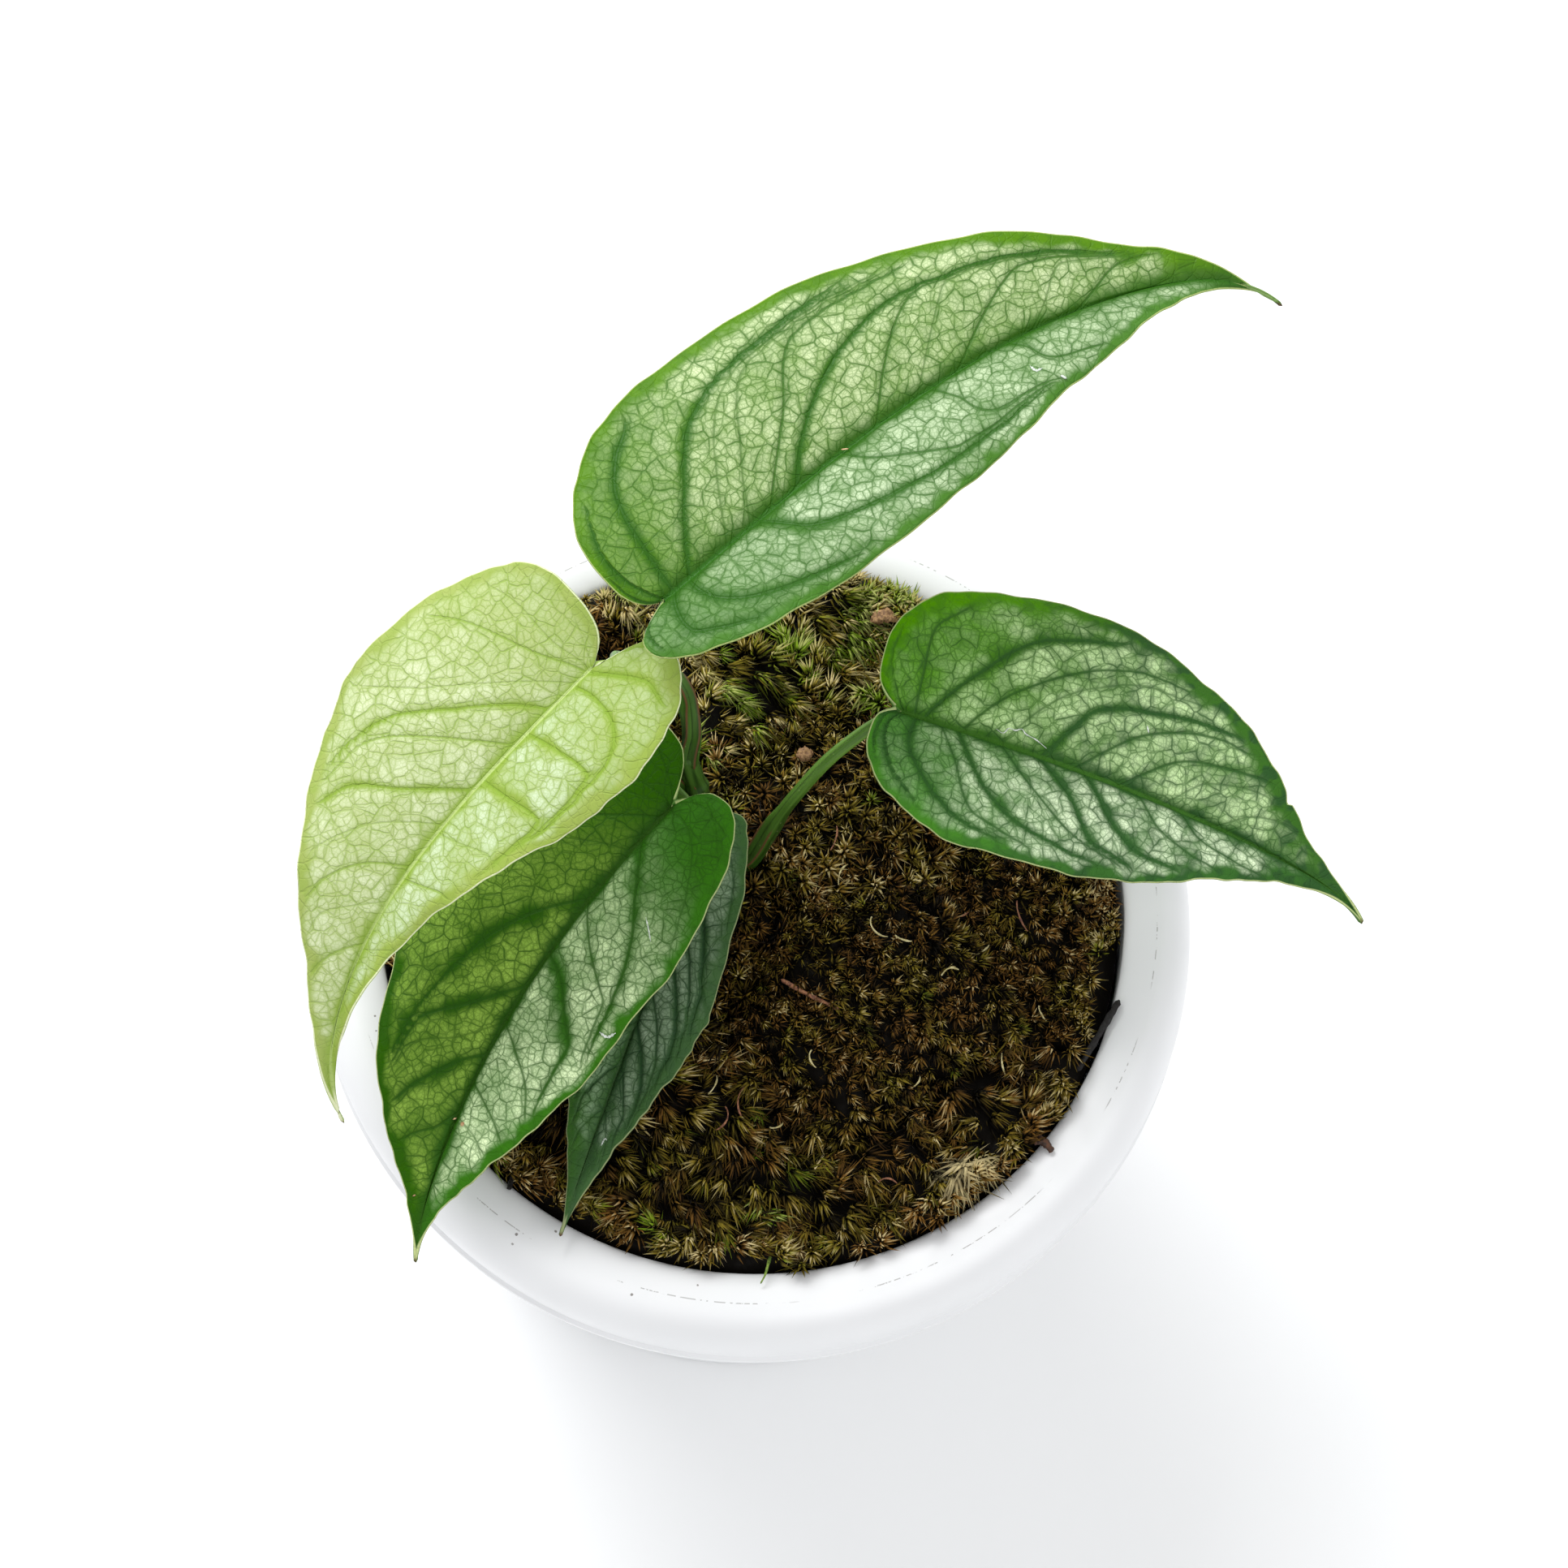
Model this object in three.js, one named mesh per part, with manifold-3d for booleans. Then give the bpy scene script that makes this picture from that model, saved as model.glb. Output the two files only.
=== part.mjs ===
// A potted juvenile silver-leaved aroid: a white nursery pot, bark mix, moss cushions, a short stem and
// five lobed leaves on arching stalks. Millimetres, +Z up, origin at the centre of the pot's underside.

import * as THREE from "three";
import { mergeVertices } from "three/addons/utils/BufferGeometryUtils.js";
import Module from "manifold-3d";

const wasm = await Module();
wasm.setup();

const DEGREE = Math.PI / 180;
const CLEARANCE = 0.3;
const WELD_DISTANCE = 1e-4;
const PARALLEL = 1e-9;

// Pot
const POT_HEIGHT = 120;
const RIM_RADIUS = 75;
const RIM_INNER_RADIUS = 63;
const SKIRT_BOTTOM_Z = 104;
const SKIRT_WALL = 2;
const SKIRT_LIP = { proud: 0.2, straight: 1.6, height: 2.2, inset: 0.4 };
const WALL = 2.4;
const RIM_SHOULDER_DEPTH = 9.5;
const RIM_SHOULDER_STEPS = 6;
const RIM_INNER_ROUNDING = 2.2;
const RIM_INNER_START = 115;
const RIM_INNER_STEPS = 3;
const RIM_HOLLOW_DEPTH = { wall: 5, crown: 3.2, skirt: 7 };
const FOOT_RADIUS = 56;
const FOOT_WIDTH = 6;
const FOOT_RECESS = 2;
const FOOT_CHAMFER = 1.5;
const RECESS_SLOPE = 1;
const PAD_RADIUS = 12;
const FLOOR_TOP_Z = 4.5;
const FLOOR_COVE = { inward: 2, outward: 1, height: 3 };
const POT_SIDES = 48;
const DRAIN_HOLE_SIDES = 12;
const DRAIN_HOLE_RADIUS = 4;
const DRAIN_HOLE_CIRCLE = 33;
const DRAIN_HOLES = 6;

// Potting mix and moss
const MIX_TOP_Z = 110.5;
const MIX_COVE_WIDTH = 2.6;
const MOSS_RADIUS = 62.4;
const MOSS_BOTTOM_Z = MIX_TOP_Z + CLEARANCE;
const MOSS_GAP = 0.4;
const MOSS_EDGE_SIDES = 26;
const MOSS_RINGS = 5;
const MOSS_OUTLINE_STEP = 6;
const MOSS_DOME_POWER = 3;
const COARSE_RELIEF = { height: 0.5, alongX: 0.62, shift: 1.3, alongY: 0.55 };
const FINE_RELIEF = { height: 0.35, alongX: 0.5, alongY: 0.9 };
const RELIEF_FADE = 0.7;
const MOSS_CUSHIONS = [
  { x: 22, y: -15, edge: 116.4, peak: 122.4 },
  { x: -10, y: -44, edge: 116.8, peak: 119.6 },
  { x: -42, y: -18, edge: 115.6, peak: 118.6 },
  { x: -38, y: 24, edge: 116.2, peak: 119.4 },
  { x: -4, y: 47, edge: 116.8, peak: 120.6 },
  { x: 33, y: 43, edge: 116.4, peak: 119.8 },
  { x: 53, y: 8, edge: 114.2, peak: 117.2 },
  { x: 43, y: -42, edge: 116.8, peak: 119.2 },
  { x: -12, y: 0, edge: 114.6, peak: 117.4 },
  { x: 12, y: 22, edge: 115.4, peak: 119.4 },
];

// Leaf blades
const BLADE_THICKNESS = 0.8;
const KEEL_DEPTH = 0.9;
const KEEL_SHARE = 0.12;
const MARGIN_WAVE = 0.7;
const SINUS_ANGLE = 20;
const SINUS_ROWS = 3;
const LOBE_ROWS = 6;
const TAPER_ROWS = 12;
const SINUS_STEP = 0.3;
const ROW_POWER = 1.6;
const BLADE_COLUMNS = 6;
const SPINE_STEPS = 80;
const HOOK_START = 0.82;
const SINUS_REACH = 0.5;
const LOBE_BACK = 0.58;
const LOBE_FRONT = 0.55;

// Each blade: base is where the stalk meets it, heading is the midrib's compass turn from +X, sweep and
// hook turn the midrib along its length and at its tip, pitch and droop are its slopes, roll tilts it
// about the midrib. Left and right give each half's width, lobe length, lobe share, widest place and fold.
const LEAVES = [
  {
    base: [-18.2, 23.7, 198], heading: 48.5, sweep: -41, sweepPower: 2.45, hook: -40,
    pitch: 0, droop: -16, roll: -6, length: 120, shoulder: 0.49, taper: 0.18, tipWidth: -0.07, waves: 4,
    left: { width: 29.7, lobe: 5.1, share: 0.32, widest: 0.19, fold: 26 },
    right: { width: 19, lobe: 8, share: 0.3, widest: 0.31, fold: 26 },
  },
  {
    base: [-28.6, 15.6, 186], heading: 227.3, sweep: 59, sweepPower: 2.6, hook: 28,
    pitch: -22, droop: -30, roll: 6, length: 92, shoulder: 0.23, taper: 0.43, tipWidth: 0.02, waves: 3,
    left: { width: 19.4, lobe: 12, share: 0.38, widest: 0.08, fold: 26 },
    right: { width: 28.8, lobe: 6.5, share: 0.45, widest: 0.26, fold: 26 },
  },
  {
    base: [-14.9, 6.1, 150], heading: 231.3, sweep: 31.5, sweepPower: 1.27, hook: 10,
    pitch: -12, droop: -10, roll: 6, length: 86.4, shoulder: 0.65, taper: 0.25, tipWidth: 0.07, waves: 3,
    left: { width: 19.6, lobe: 6.6, share: 0.37, widest: 0.29, fold: 26 },
    right: { width: 26, lobe: 9.2, share: 0.38, widest: 0.2, fold: 16 },
  },
  {
    base: [-9, 9.4, 134], heading: 256.3, sweep: 0, sweepPower: 1.2, hook: 2,
    pitch: -6, droop: -5, roll: 4, length: 73.2, shoulder: 0.29, taper: 0.25, tipWidth: 0.07, waves: 2,
    left: { width: 12.4, lobe: 4, share: 0.4, widest: 0.37, fold: 26 },
    right: { width: 13, lobe: 2.4, share: 0.35, widest: 0.36, fold: 12 },
  },
  {
    base: [20.7, 23, 160], heading: -10.8, sweep: -10, sweepPower: 1.6, hook: -28,
    pitch: -5, droop: -20, roll: -5, length: 85, shoulder: 0.54, taper: 0.38, tipWidth: 0.11, waves: 3,
    left: { width: 26.6, lobe: 5.6, share: 0.38, widest: 0.27, fold: 26 },
    right: { width: 20.7, lobe: 4.2, share: 0.37, widest: 0.21, fold: 26 },
  },
];
const CROSS_BEND = 38;

// Stem and leaf stalks
const STEM_PATH = [
  [-7.4, 10.4, 98], [-7.6, 10.9, 112], [-9.2, 13.4, 120], [-11.2, 15.8, 130], [-13.6, 18.6, 141],
];
const STEM_RADIUS = 2.1;
const STEM_TIP_RADIUS = 1.6;
const STEM_NODES = [0.3, 0.45, 0.62, 0.78];
const NODE_SWELLING = 0.22;
const NODE_WIDTH = 0.025;
const STALK_PATHS = [
  [[-13.1, 18, 138.8], [-13, 20.8, 146], [-14.4, 23.4, 153.5], [-18.5, 24.4, 168], [-20, 22.8, 182]],
  [[-11.8, 16.5, 132.5], [-16.2, 19.8, 138.5], [-19.4, 23, 146], [-21.4, 25.4, 154], [-25.4, 23.6, 170]],
  [[-10.4, 14.9, 126], [-14.8, 15, 131.5], [-17.2, 15.4, 138], [-16.6, 12.4, 143.5]],
  [[-9, 13.2, 118], [-6.8, 12.4, 122.5], [-6.6, 11.6, 126]],
  [
    [-7.5, 10.7, 109], [-3.4, 8.6, 112.5], [-1.6, 8.4, 117.5],
    [1.6, 11.3, 128], [5.1, 14.1, 138], [11, 18.5, 149],
  ],
];
const SHEATH_RADIUS = 1.65;
const SHEATH_END = 0.36;
const SHEATH_FADE = 0.12;
const STALK_RADIUS = 1.3;
const STALK_TIP_RADIUS = 1.05;
const STALK_APPROACH = 50;
const STALK_LEAD = 5;
const STALK_INSET = 1.2;
const TUBE_SIDES = 9;
const TUBE_STEPS = 16;

// Two slivers of bark, each from the rim down to the moss, and a twig lying on the moss
const SLIVERS = [
  {
    name: "bark_sliver_1", radius: 0.6,
    path: [[62.9, -9.9, 119.92], [59.8, -16.6, 119.4], [56.7, -23.2, 118.8]],
  },
  {
    name: "bark_sliver_2", radius: 0.45,
    path: [[-35.5, -53.5, 119.95], [-35.2, -51, 119.4], [-34.9, -48.6, 118.85]],
  },
  {
    name: "twig", radius: 0.4,
    path: [[5.5, -13, 121.55], [11, -15, 122.45], [16, -17.6, 123.1]],
  },
];
const SLIVER_STEPS = 4;
const SLIVER_TAPER = 0.35;

const PLASTIC = new THREE.MeshStandardMaterial({ color: 0xf1f2f1, roughness: 0.35 });
const MIX = new THREE.MeshStandardMaterial({ color: 0x2e2017, roughness: 0.95 });
const MOSS = new THREE.MeshStandardMaterial({ color: 0x4a3f1e, roughness: 1 });
const STALK = new THREE.MeshStandardMaterial({ color: 0x54803a, roughness: 0.5 });
const BARK = new THREE.MeshStandardMaterial({ color: 0x2a211c, roughness: 0.9 });
const BLADE_COLORS = [0x6f9a4c, 0xb4cd6c, 0x4c7436, 0x3c5c3a, 0x45703a];

function toSolid(geometry) {
  const bare = geometry.clone();
  bare.deleteAttribute("normal");
  bare.deleteAttribute("uv");
  const merged = mergeVertices(bare, WELD_DISTANCE);
  return new wasm.Manifold(new wasm.Mesh({
    numProp: 3,
    vertProperties: new Float32Array(merged.attributes.position.array),
    triVerts: new Uint32Array(merged.index.array),
  }));
}

function toGeometry(solid) {
  const mesh = solid.getMesh();
  return indexedGeometry(Array.from(mesh.vertProperties), Array.from(mesh.triVerts));
}

function indexedGeometry(positions, indices) {
  const geometry = new THREE.BufferGeometry();
  geometry.setAttribute("position", new THREE.Float32BufferAttribute(positions, 3));
  geometry.setIndex(indices);
  geometry.computeVertexNormals();
  return geometry;
}

function latheUpright(profile, sides) {
  const points = profile.map(([radius, z]) => new THREE.Vector2(radius, z));
  return new THREE.LatheGeometry(points, sides).rotateX(Math.PI / 2);
}

function arcPoints(centreR, centreZ, radiusR, radiusZ, from, to, steps) {
  const points = [];
  for (let i = 0; i <= steps; i += 1) {
    const angle = (from + ((to - from) * i) / steps) * DEGREE;
    points.push([centreR + radiusR * Math.cos(angle), centreZ + radiusZ * Math.sin(angle)]);
  }
  return points;
}

// Pot: a tapered wall with a rolled rim whose skirt hangs free of it, a foot ring and a centre pad
function potProfile() {
  const shoulderZ = POT_HEIGHT - RIM_SHOULDER_DEPTH;
  const rimMiddle = (RIM_INNER_RADIUS + RIM_RADIUS) / 2;
  const skirtInner = RIM_RADIUS - SKIRT_WALL;
  const wallTop = RIM_INNER_RADIUS + WALL;
  const footInner = FOOT_RADIUS - FOOT_WIDTH;
  const floorEdge = FOOT_RADIUS - WALL;
  const lip = RIM_RADIUS + SKIRT_LIP.proud;
  const innerRoundingZ = POT_HEIGHT - RIM_INNER_ROUNDING;
  return [
    [0, 0],
    [PAD_RADIUS, 0],
    [PAD_RADIUS + RECESS_SLOPE, FOOT_RECESS],
    [footInner - RECESS_SLOPE, FOOT_RECESS],
    [footInner, 0],
    [FOOT_RADIUS - FOOT_CHAMFER, 0],
    [FOOT_RADIUS, FOOT_CHAMFER],
    [(FOOT_RADIUS + wallTop) / 2, SKIRT_BOTTOM_Z / 2],
    [wallTop, SKIRT_BOTTOM_Z],
    [wallTop, POT_HEIGHT - RIM_HOLLOW_DEPTH.wall],
    [rimMiddle, POT_HEIGHT - RIM_HOLLOW_DEPTH.crown],
    [skirtInner, POT_HEIGHT - RIM_HOLLOW_DEPTH.skirt],
    [skirtInner, SKIRT_BOTTOM_Z],
    [lip, SKIRT_BOTTOM_Z],
    [lip, SKIRT_BOTTOM_Z + SKIRT_LIP.straight],
    [RIM_RADIUS - SKIRT_LIP.inset, SKIRT_BOTTOM_Z + SKIRT_LIP.height],
    ...arcPoints(
      rimMiddle, shoulderZ, RIM_RADIUS - rimMiddle, RIM_SHOULDER_DEPTH,
      0, 90, RIM_SHOULDER_STEPS,
    ),
    ...arcPoints(
      rimMiddle, innerRoundingZ, rimMiddle - RIM_INNER_RADIUS, RIM_INNER_ROUNDING,
      RIM_INNER_START, 180, RIM_INNER_STEPS,
    ),
    [RIM_INNER_RADIUS, SKIRT_BOTTOM_Z],
    [floorEdge + FLOOR_COVE.outward, FLOOR_TOP_Z + FLOOR_COVE.height],
    [floorEdge - FLOOR_COVE.inward, FLOOR_TOP_Z],
    [0, FLOOR_TOP_Z],
  ];
}

function potGeometry() {
  const radius = DRAIN_HOLE_RADIUS;
  const depth = FLOOR_TOP_Z * 3;
  let solid = toSolid(latheUpright(potProfile(), POT_SIDES));
  for (let i = 0; i < DRAIN_HOLES; i += 1) {
    const angle = ((i + 0.5) / DRAIN_HOLES) * 2 * Math.PI;
    const hole = new THREE.CylinderGeometry(radius, radius, depth, DRAIN_HOLE_SIDES);
    hole.rotateX(Math.PI / 2);
    hole.translate(DRAIN_HOLE_CIRCLE * Math.cos(angle), DRAIN_HOLE_CIRCLE * Math.sin(angle), 0);
    solid = solid.subtract(toSolid(hole));
  }
  return toGeometry(solid);
}

function mixGeometry() {
  const bottom = FLOOR_TOP_Z + CLEARANCE;
  const floorRadius = FOOT_RADIUS - WALL - FLOOR_COVE.inward - CLEARANCE;
  const topRadius = RIM_INNER_RADIUS - 2 * CLEARANCE;
  return latheUpright([
    [0, bottom],
    [floorRadius, bottom],
    [floorRadius + MIX_COVE_WIDTH, bottom + FLOOR_COVE.height],
    [topRadius, SKIRT_BOTTOM_Z],
    [topRadius, MIX_TOP_Z],
    [0, MIX_TOP_Z],
  ], POT_SIDES);
}

// Moss: the disc inside the rim is shared out among the cushions, each point to the nearest centre
function clipByLine(polygon, px, py, nx, ny) {
  const side = ([x, y]) => (x - px) * nx + (y - py) * ny;
  const kept = [];
  polygon.forEach((point, i) => {
    const next = polygon[(i + 1) % polygon.length];
    const a = side(point);
    const b = side(next);
    if (a <= 0) kept.push(point);
    if (a * b < 0) {
      const t = a / (a - b);
      kept.push([point[0] + (next[0] - point[0]) * t, point[1] + (next[1] - point[1]) * t]);
    }
  });
  return kept;
}

function cushionOutline(cushion) {
  const steps = 360 / MOSS_OUTLINE_STEP - 1;
  let polygon = arcPoints(0, 0, MOSS_RADIUS, MOSS_RADIUS, 0, 360 - MOSS_OUTLINE_STEP, steps);
  for (const other of MOSS_CUSHIONS) {
    if (other === cushion) continue;
    const dx = other.x - cushion.x;
    const dy = other.y - cushion.y;
    const distance = Math.hypot(dx, dy);
    const reach = distance / 2 - MOSS_GAP;
    const px = cushion.x + (dx / distance) * reach;
    const py = cushion.y + (dy / distance) * reach;
    polygon = clipByLine(polygon, px, py, dx, dy);
  }
  return polygon;
}

function rayToOutline(polygon, cx, cy, angle) {
  const dx = Math.cos(angle);
  const dy = Math.sin(angle);
  let reach = Infinity;
  polygon.forEach(([ax, ay], i) => {
    const [bx, by] = polygon[(i + 1) % polygon.length];
    const ex = bx - ax;
    const ey = by - ay;
    const cross = dx * ey - dy * ex;
    if (Math.abs(cross) < PARALLEL) return;
    const along = ((ax - cx) * ey - (ay - cy) * ex) / cross;
    const share = ((ax - cx) * dy - (ay - cy) * dx) / cross;
    if (along > 0 && share >= -PARALLEL && share <= 1 + PARALLEL) reach = Math.min(reach, along);
  });
  return reach;
}

function mossRelief(x, y) {
  const along = COARSE_RELIEF.alongX * x + COARSE_RELIEF.shift;
  const coarse = Math.sin(along) * Math.cos(COARSE_RELIEF.alongY * y);
  const fine = Math.sin(FINE_RELIEF.alongY * y + FINE_RELIEF.alongX * x);
  return COARSE_RELIEF.height * coarse + FINE_RELIEF.height * fine;
}

function mossHeight(cushion, x, y, rho) {
  const dome = Math.sqrt(Math.max(0, 1 - rho ** MOSS_DOME_POWER));
  const relief = mossRelief(x, y) * (1 - RELIEF_FADE * rho);
  return cushion.edge + (cushion.peak - cushion.edge) * dome + relief;
}

function cushionGeometry(cushion) {
  const outline = cushionOutline(cushion);
  const positions = [cushion.x, cushion.y, mossHeight(cushion, cushion.x, cushion.y, 0)];
  const indices = [];
  const sides = MOSS_EDGE_SIDES;
  for (let ring = 1; ring <= MOSS_RINGS; ring += 1) {
    const rho = Math.sin((ring / MOSS_RINGS) * (Math.PI / 2));
    for (let i = 0; i < sides; i += 1) {
      const angle = (i / sides) * 2 * Math.PI;
      const reach = rayToOutline(outline, cushion.x, cushion.y, angle) * rho;
      const x = cushion.x + reach * Math.cos(angle);
      const y = cushion.y + reach * Math.sin(angle);
      positions.push(x, y, mossHeight(cushion, x, y, rho));
    }
  }
  for (let i = 0; i < sides; i += 1) {
    const rim = 3 * (1 + (MOSS_RINGS - 1) * sides + i);
    positions.push(positions[rim], positions[rim + 1], MOSS_BOTTOM_Z);
  }
  positions.push(cushion.x, cushion.y, MOSS_BOTTOM_Z);
  const bottomCentre = 1 + (MOSS_RINGS + 1) * sides;
  for (let i = 0; i < sides; i += 1) {
    const j = (i + 1) % sides;
    indices.push(0, 1 + i, 1 + j);
    for (let ring = 0; ring < MOSS_RINGS; ring += 1) {
      const inner = 1 + ring * sides;
      const outer = inner + sides;
      indices.push(inner + i, outer + i, outer + j, inner + i, outer + j, inner + j);
    }
    const bottom = 1 + MOSS_RINGS * sides;
    indices.push(bottom + i, bottomCentre, bottom + j);
  }
  return indexedGeometry(positions, indices);
}

// Round tubes of changing radius with flat ends, along a smooth curve through points
function tubeGeometry(points, radiusAt, steps) {
  const curve = new THREE.CatmullRomCurve3(points.map((p) => new THREE.Vector3(...p)));
  const frames = curve.computeFrenetFrames(steps, false);
  const positions = [];
  const indices = [];
  const sides = TUBE_SIDES;
  for (let step = 0; step <= steps; step += 1) {
    const share = step / steps;
    const centre = curve.getPointAt(share);
    for (let i = 0; i < sides; i += 1) {
      const angle = (i / sides) * 2 * Math.PI;
      const offset = frames.normals[step].clone().multiplyScalar(Math.cos(angle));
      offset.addScaledVector(frames.binormals[step], Math.sin(angle));
      const point = centre.clone().addScaledVector(offset, radiusAt(share));
      positions.push(point.x, point.y, point.z);
    }
  }
  const first = (steps + 1) * sides;
  positions.push(...curve.getPointAt(0).toArray(), ...curve.getPointAt(1).toArray());
  for (let i = 0; i < sides; i += 1) {
    const j = (i + 1) % sides;
    indices.push(first, j, i);
    indices.push(first + 1, steps * sides + i, steps * sides + j);
    for (let step = 0; step < steps; step += 1) {
      const a = step * sides;
      const b = a + sides;
      indices.push(a + i, a + j, b + j, a + i, b + j, b + i);
    }
  }
  return indexedGeometry(positions, indices);
}

function stemRadius(share, grown) {
  const plain = STEM_RADIUS + (STEM_TIP_RADIUS - STEM_RADIUS) * share;
  const swellings = STEM_NODES.map((node) => Math.exp(-(((share - node) / NODE_WIDTH) ** 2)));
  const swelling = swellings.reduce((sum, one) => sum + one, 0);
  return plain * (1 + NODE_SWELLING * swelling) + grown;
}

function stemGeometry(grown = 0) {
  const path = STEM_PATH.map((point) => [...point]);
  path[0][2] -= grown;
  path[path.length - 1][2] += grown;
  return tubeGeometry(path, (share) => stemRadius(share, grown), TUBE_STEPS);
}

function stalkRadius(share, grown) {
  const bare = STALK_RADIUS + (STALK_TIP_RADIUS - STALK_RADIUS) * share;
  const sheath = 1 - THREE.MathUtils.smoothstep(share, SHEATH_END, SHEATH_END + SHEATH_FADE);
  return bare + (SHEATH_RADIUS - bare) * sheath + grown;
}

function stalkPath(leaf, path) {
  const { tangent, normal } = bladeFrame(leaf, 0);
  const approach = STALK_APPROACH * DEGREE;
  const direction = tangent.clone().multiplyScalar(Math.cos(approach));
  direction.addScaledVector(normal, Math.sin(approach));
  const below = BLADE_THICKNESS + KEEL_DEPTH + CLEARANCE + STALK_TIP_RADIUS * Math.cos(approach);
  const end = new THREE.Vector3(...leaf.base);
  end.addScaledVector(tangent, STALK_INSET).addScaledVector(normal, -below);
  const lead = end.clone().addScaledVector(direction, -STALK_LEAD);
  return [...path, lead.toArray(), end.toArray()];
}

function stalkGeometry(index, grown = 0) {
  const path = stalkPath(LEAVES[index], STALK_PATHS[index]);
  return tubeGeometry(path, (share) => stalkRadius(share, grown), TUBE_STEPS);
}

// Blade outline: for each half, one curve round the lobe's inner edge, one out to the widest place
// and one in to the drawn-out tip, in millimetres along (u) and across (v) the midrib
function bezier(a, b, c, d, t) {
  const s = 1 - t;
  return [0, 1].map((k) => s ** 3 * a[k] + 3 * s * s * t * b[k] + 3 * s * t * t * c[k] + t ** 3 * d[k]);
}

function halfOutline(leaf, half) {
  const angle = SINUS_ANGLE * DEGREE;
  const rear = [-half.lobe, half.share * half.width];
  const reach = SINUS_REACH * Math.hypot(...rear);
  const widest = [half.widest * leaf.length, half.width];
  const taperLength = leaf.length - widest[0];
  const tip = [leaf.length, 0];
  const sinusCurve = [
    [0, 0],
    [-reach * Math.cos(angle), reach * Math.sin(angle)],
    [rear[0], rear[1] / 2],
    rear,
  ];
  const lobeCurve = [
    rear,
    [rear[0], rear[1] + LOBE_BACK * (half.width - rear[1])],
    [widest[0] - LOBE_FRONT * (widest[0] - rear[0]), half.width],
    widest,
  ];
  const taperCurve = [
    widest,
    [widest[0] + leaf.shoulder * taperLength, half.width],
    [leaf.length - leaf.taper * taperLength, leaf.tipWidth * half.width],
    tip,
  ];
  const points = [];
  for (let i = 0; i < SINUS_ROWS; i += 1) points.push(bezier(...sinusCurve, i / SINUS_ROWS));
  for (let i = 0; i < LOBE_ROWS; i += 1) points.push(bezier(...lobeCurve, i / LOBE_ROWS));
  for (let i = 0; i <= TAPER_ROWS; i += 1) points.push(bezier(...taperCurve, i / TAPER_ROWS));
  return points;
}

function midribStation(leaf, row) {
  const rows = SINUS_ROWS + LOBE_ROWS + TAPER_ROWS;
  if (row <= SINUS_ROWS) return SINUS_STEP * row;
  const start = SINUS_STEP * SINUS_ROWS;
  return start + (leaf.length - start) * ((row - SINUS_ROWS) / (rows - SINUS_ROWS)) ** ROW_POWER;
}

// Midrib in space, by adding up short steps whose heading and slope change along it
function midribDirection(leaf, share) {
  const tipShare = Math.max(0, (share - HOOK_START) / (1 - HOOK_START));
  const turn = leaf.sweep * share ** leaf.sweepPower + leaf.hook * tipShare ** 2;
  const heading = (leaf.heading + turn) * DEGREE;
  const slope = (leaf.pitch + leaf.droop * share * share) * DEGREE;
  const flat = Math.cos(slope);
  return new THREE.Vector3(flat * Math.cos(heading), flat * Math.sin(heading), Math.sin(slope));
}

function midribPoint(leaf, u) {
  const point = new THREE.Vector3(...leaf.base);
  if (u <= 0) return point.addScaledVector(midribDirection(leaf, 0), u);
  const steps = Math.max(1, Math.round((SPINE_STEPS * u) / leaf.length));
  const step = u / steps;
  for (let i = 0; i < steps; i += 1) {
    point.addScaledVector(midribDirection(leaf, ((i + 0.5) * step) / leaf.length), step);
  }
  return point;
}

function bladeFrame(leaf, u) {
  const tangent = midribDirection(leaf, Math.max(0, u) / leaf.length);
  const level = new THREE.Vector3(0, 0, 1).cross(tangent).normalize();
  const upright = tangent.clone().cross(level);
  const roll = leaf.roll * DEGREE;
  const side = level.clone().multiplyScalar(Math.cos(roll)).addScaledVector(upright, Math.sin(roll));
  const normal = upright.clone().multiplyScalar(Math.cos(roll)).addScaledVector(level, -Math.sin(roll));
  return { tangent, side, normal };
}

// A point of the blade: the halves fold up from the midrib and arch over towards the margin
function bladePoint(leaf, u, v, share) {
  const half = v >= 0 ? leaf.left : leaf.right;
  const fold = half.fold * DEGREE;
  const curl = (CROSS_BEND * DEGREE) / half.width;
  const angle = fold - curl * Math.abs(v);
  const out = ((Math.sin(fold) - Math.sin(angle)) / curl) * Math.sign(v);
  const phase = (2 * Math.PI * leaf.waves * u) / leaf.length + half.width;
  const wave = MARGIN_WAVE * share ** 3 * Math.sin(phase);
  const up = (Math.cos(angle) - Math.cos(fold)) / curl + wave;
  const { side, normal } = bladeFrame(leaf, u);
  return midribPoint(leaf, u).addScaledVector(side, out).addScaledVector(normal, up);
}

function bladeGrid(leaf) {
  const left = halfOutline(leaf, leaf.left);
  const right = halfOutline(leaf, leaf.right);
  const last = left.length - 1;
  return left.map((_, row) => {
    const station = midribStation(leaf, row);
    if (row === 0 || row === last) return [bladePoint(leaf, left[row][0], 0, 0)];
    const points = [];
    for (let column = -BLADE_COLUMNS; column <= BLADE_COLUMNS; column += 1) {
      const share = Math.abs(column) / BLADE_COLUMNS;
      const edge = column < 0 ? right[row] : left[row];
      const u = station + (edge[0] - station) * share;
      const v = edge[1] * share * Math.sign(column);
      points.push(bladePoint(leaf, u, v, share));
    }
    return points;
  });
}

function keelAt(column, row, last) {
  const share = Math.abs(column) / BLADE_COLUMNS;
  return KEEL_DEPTH * Math.max(0, 1 - share / KEEL_SHARE) * (1 - row / last);
}

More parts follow.
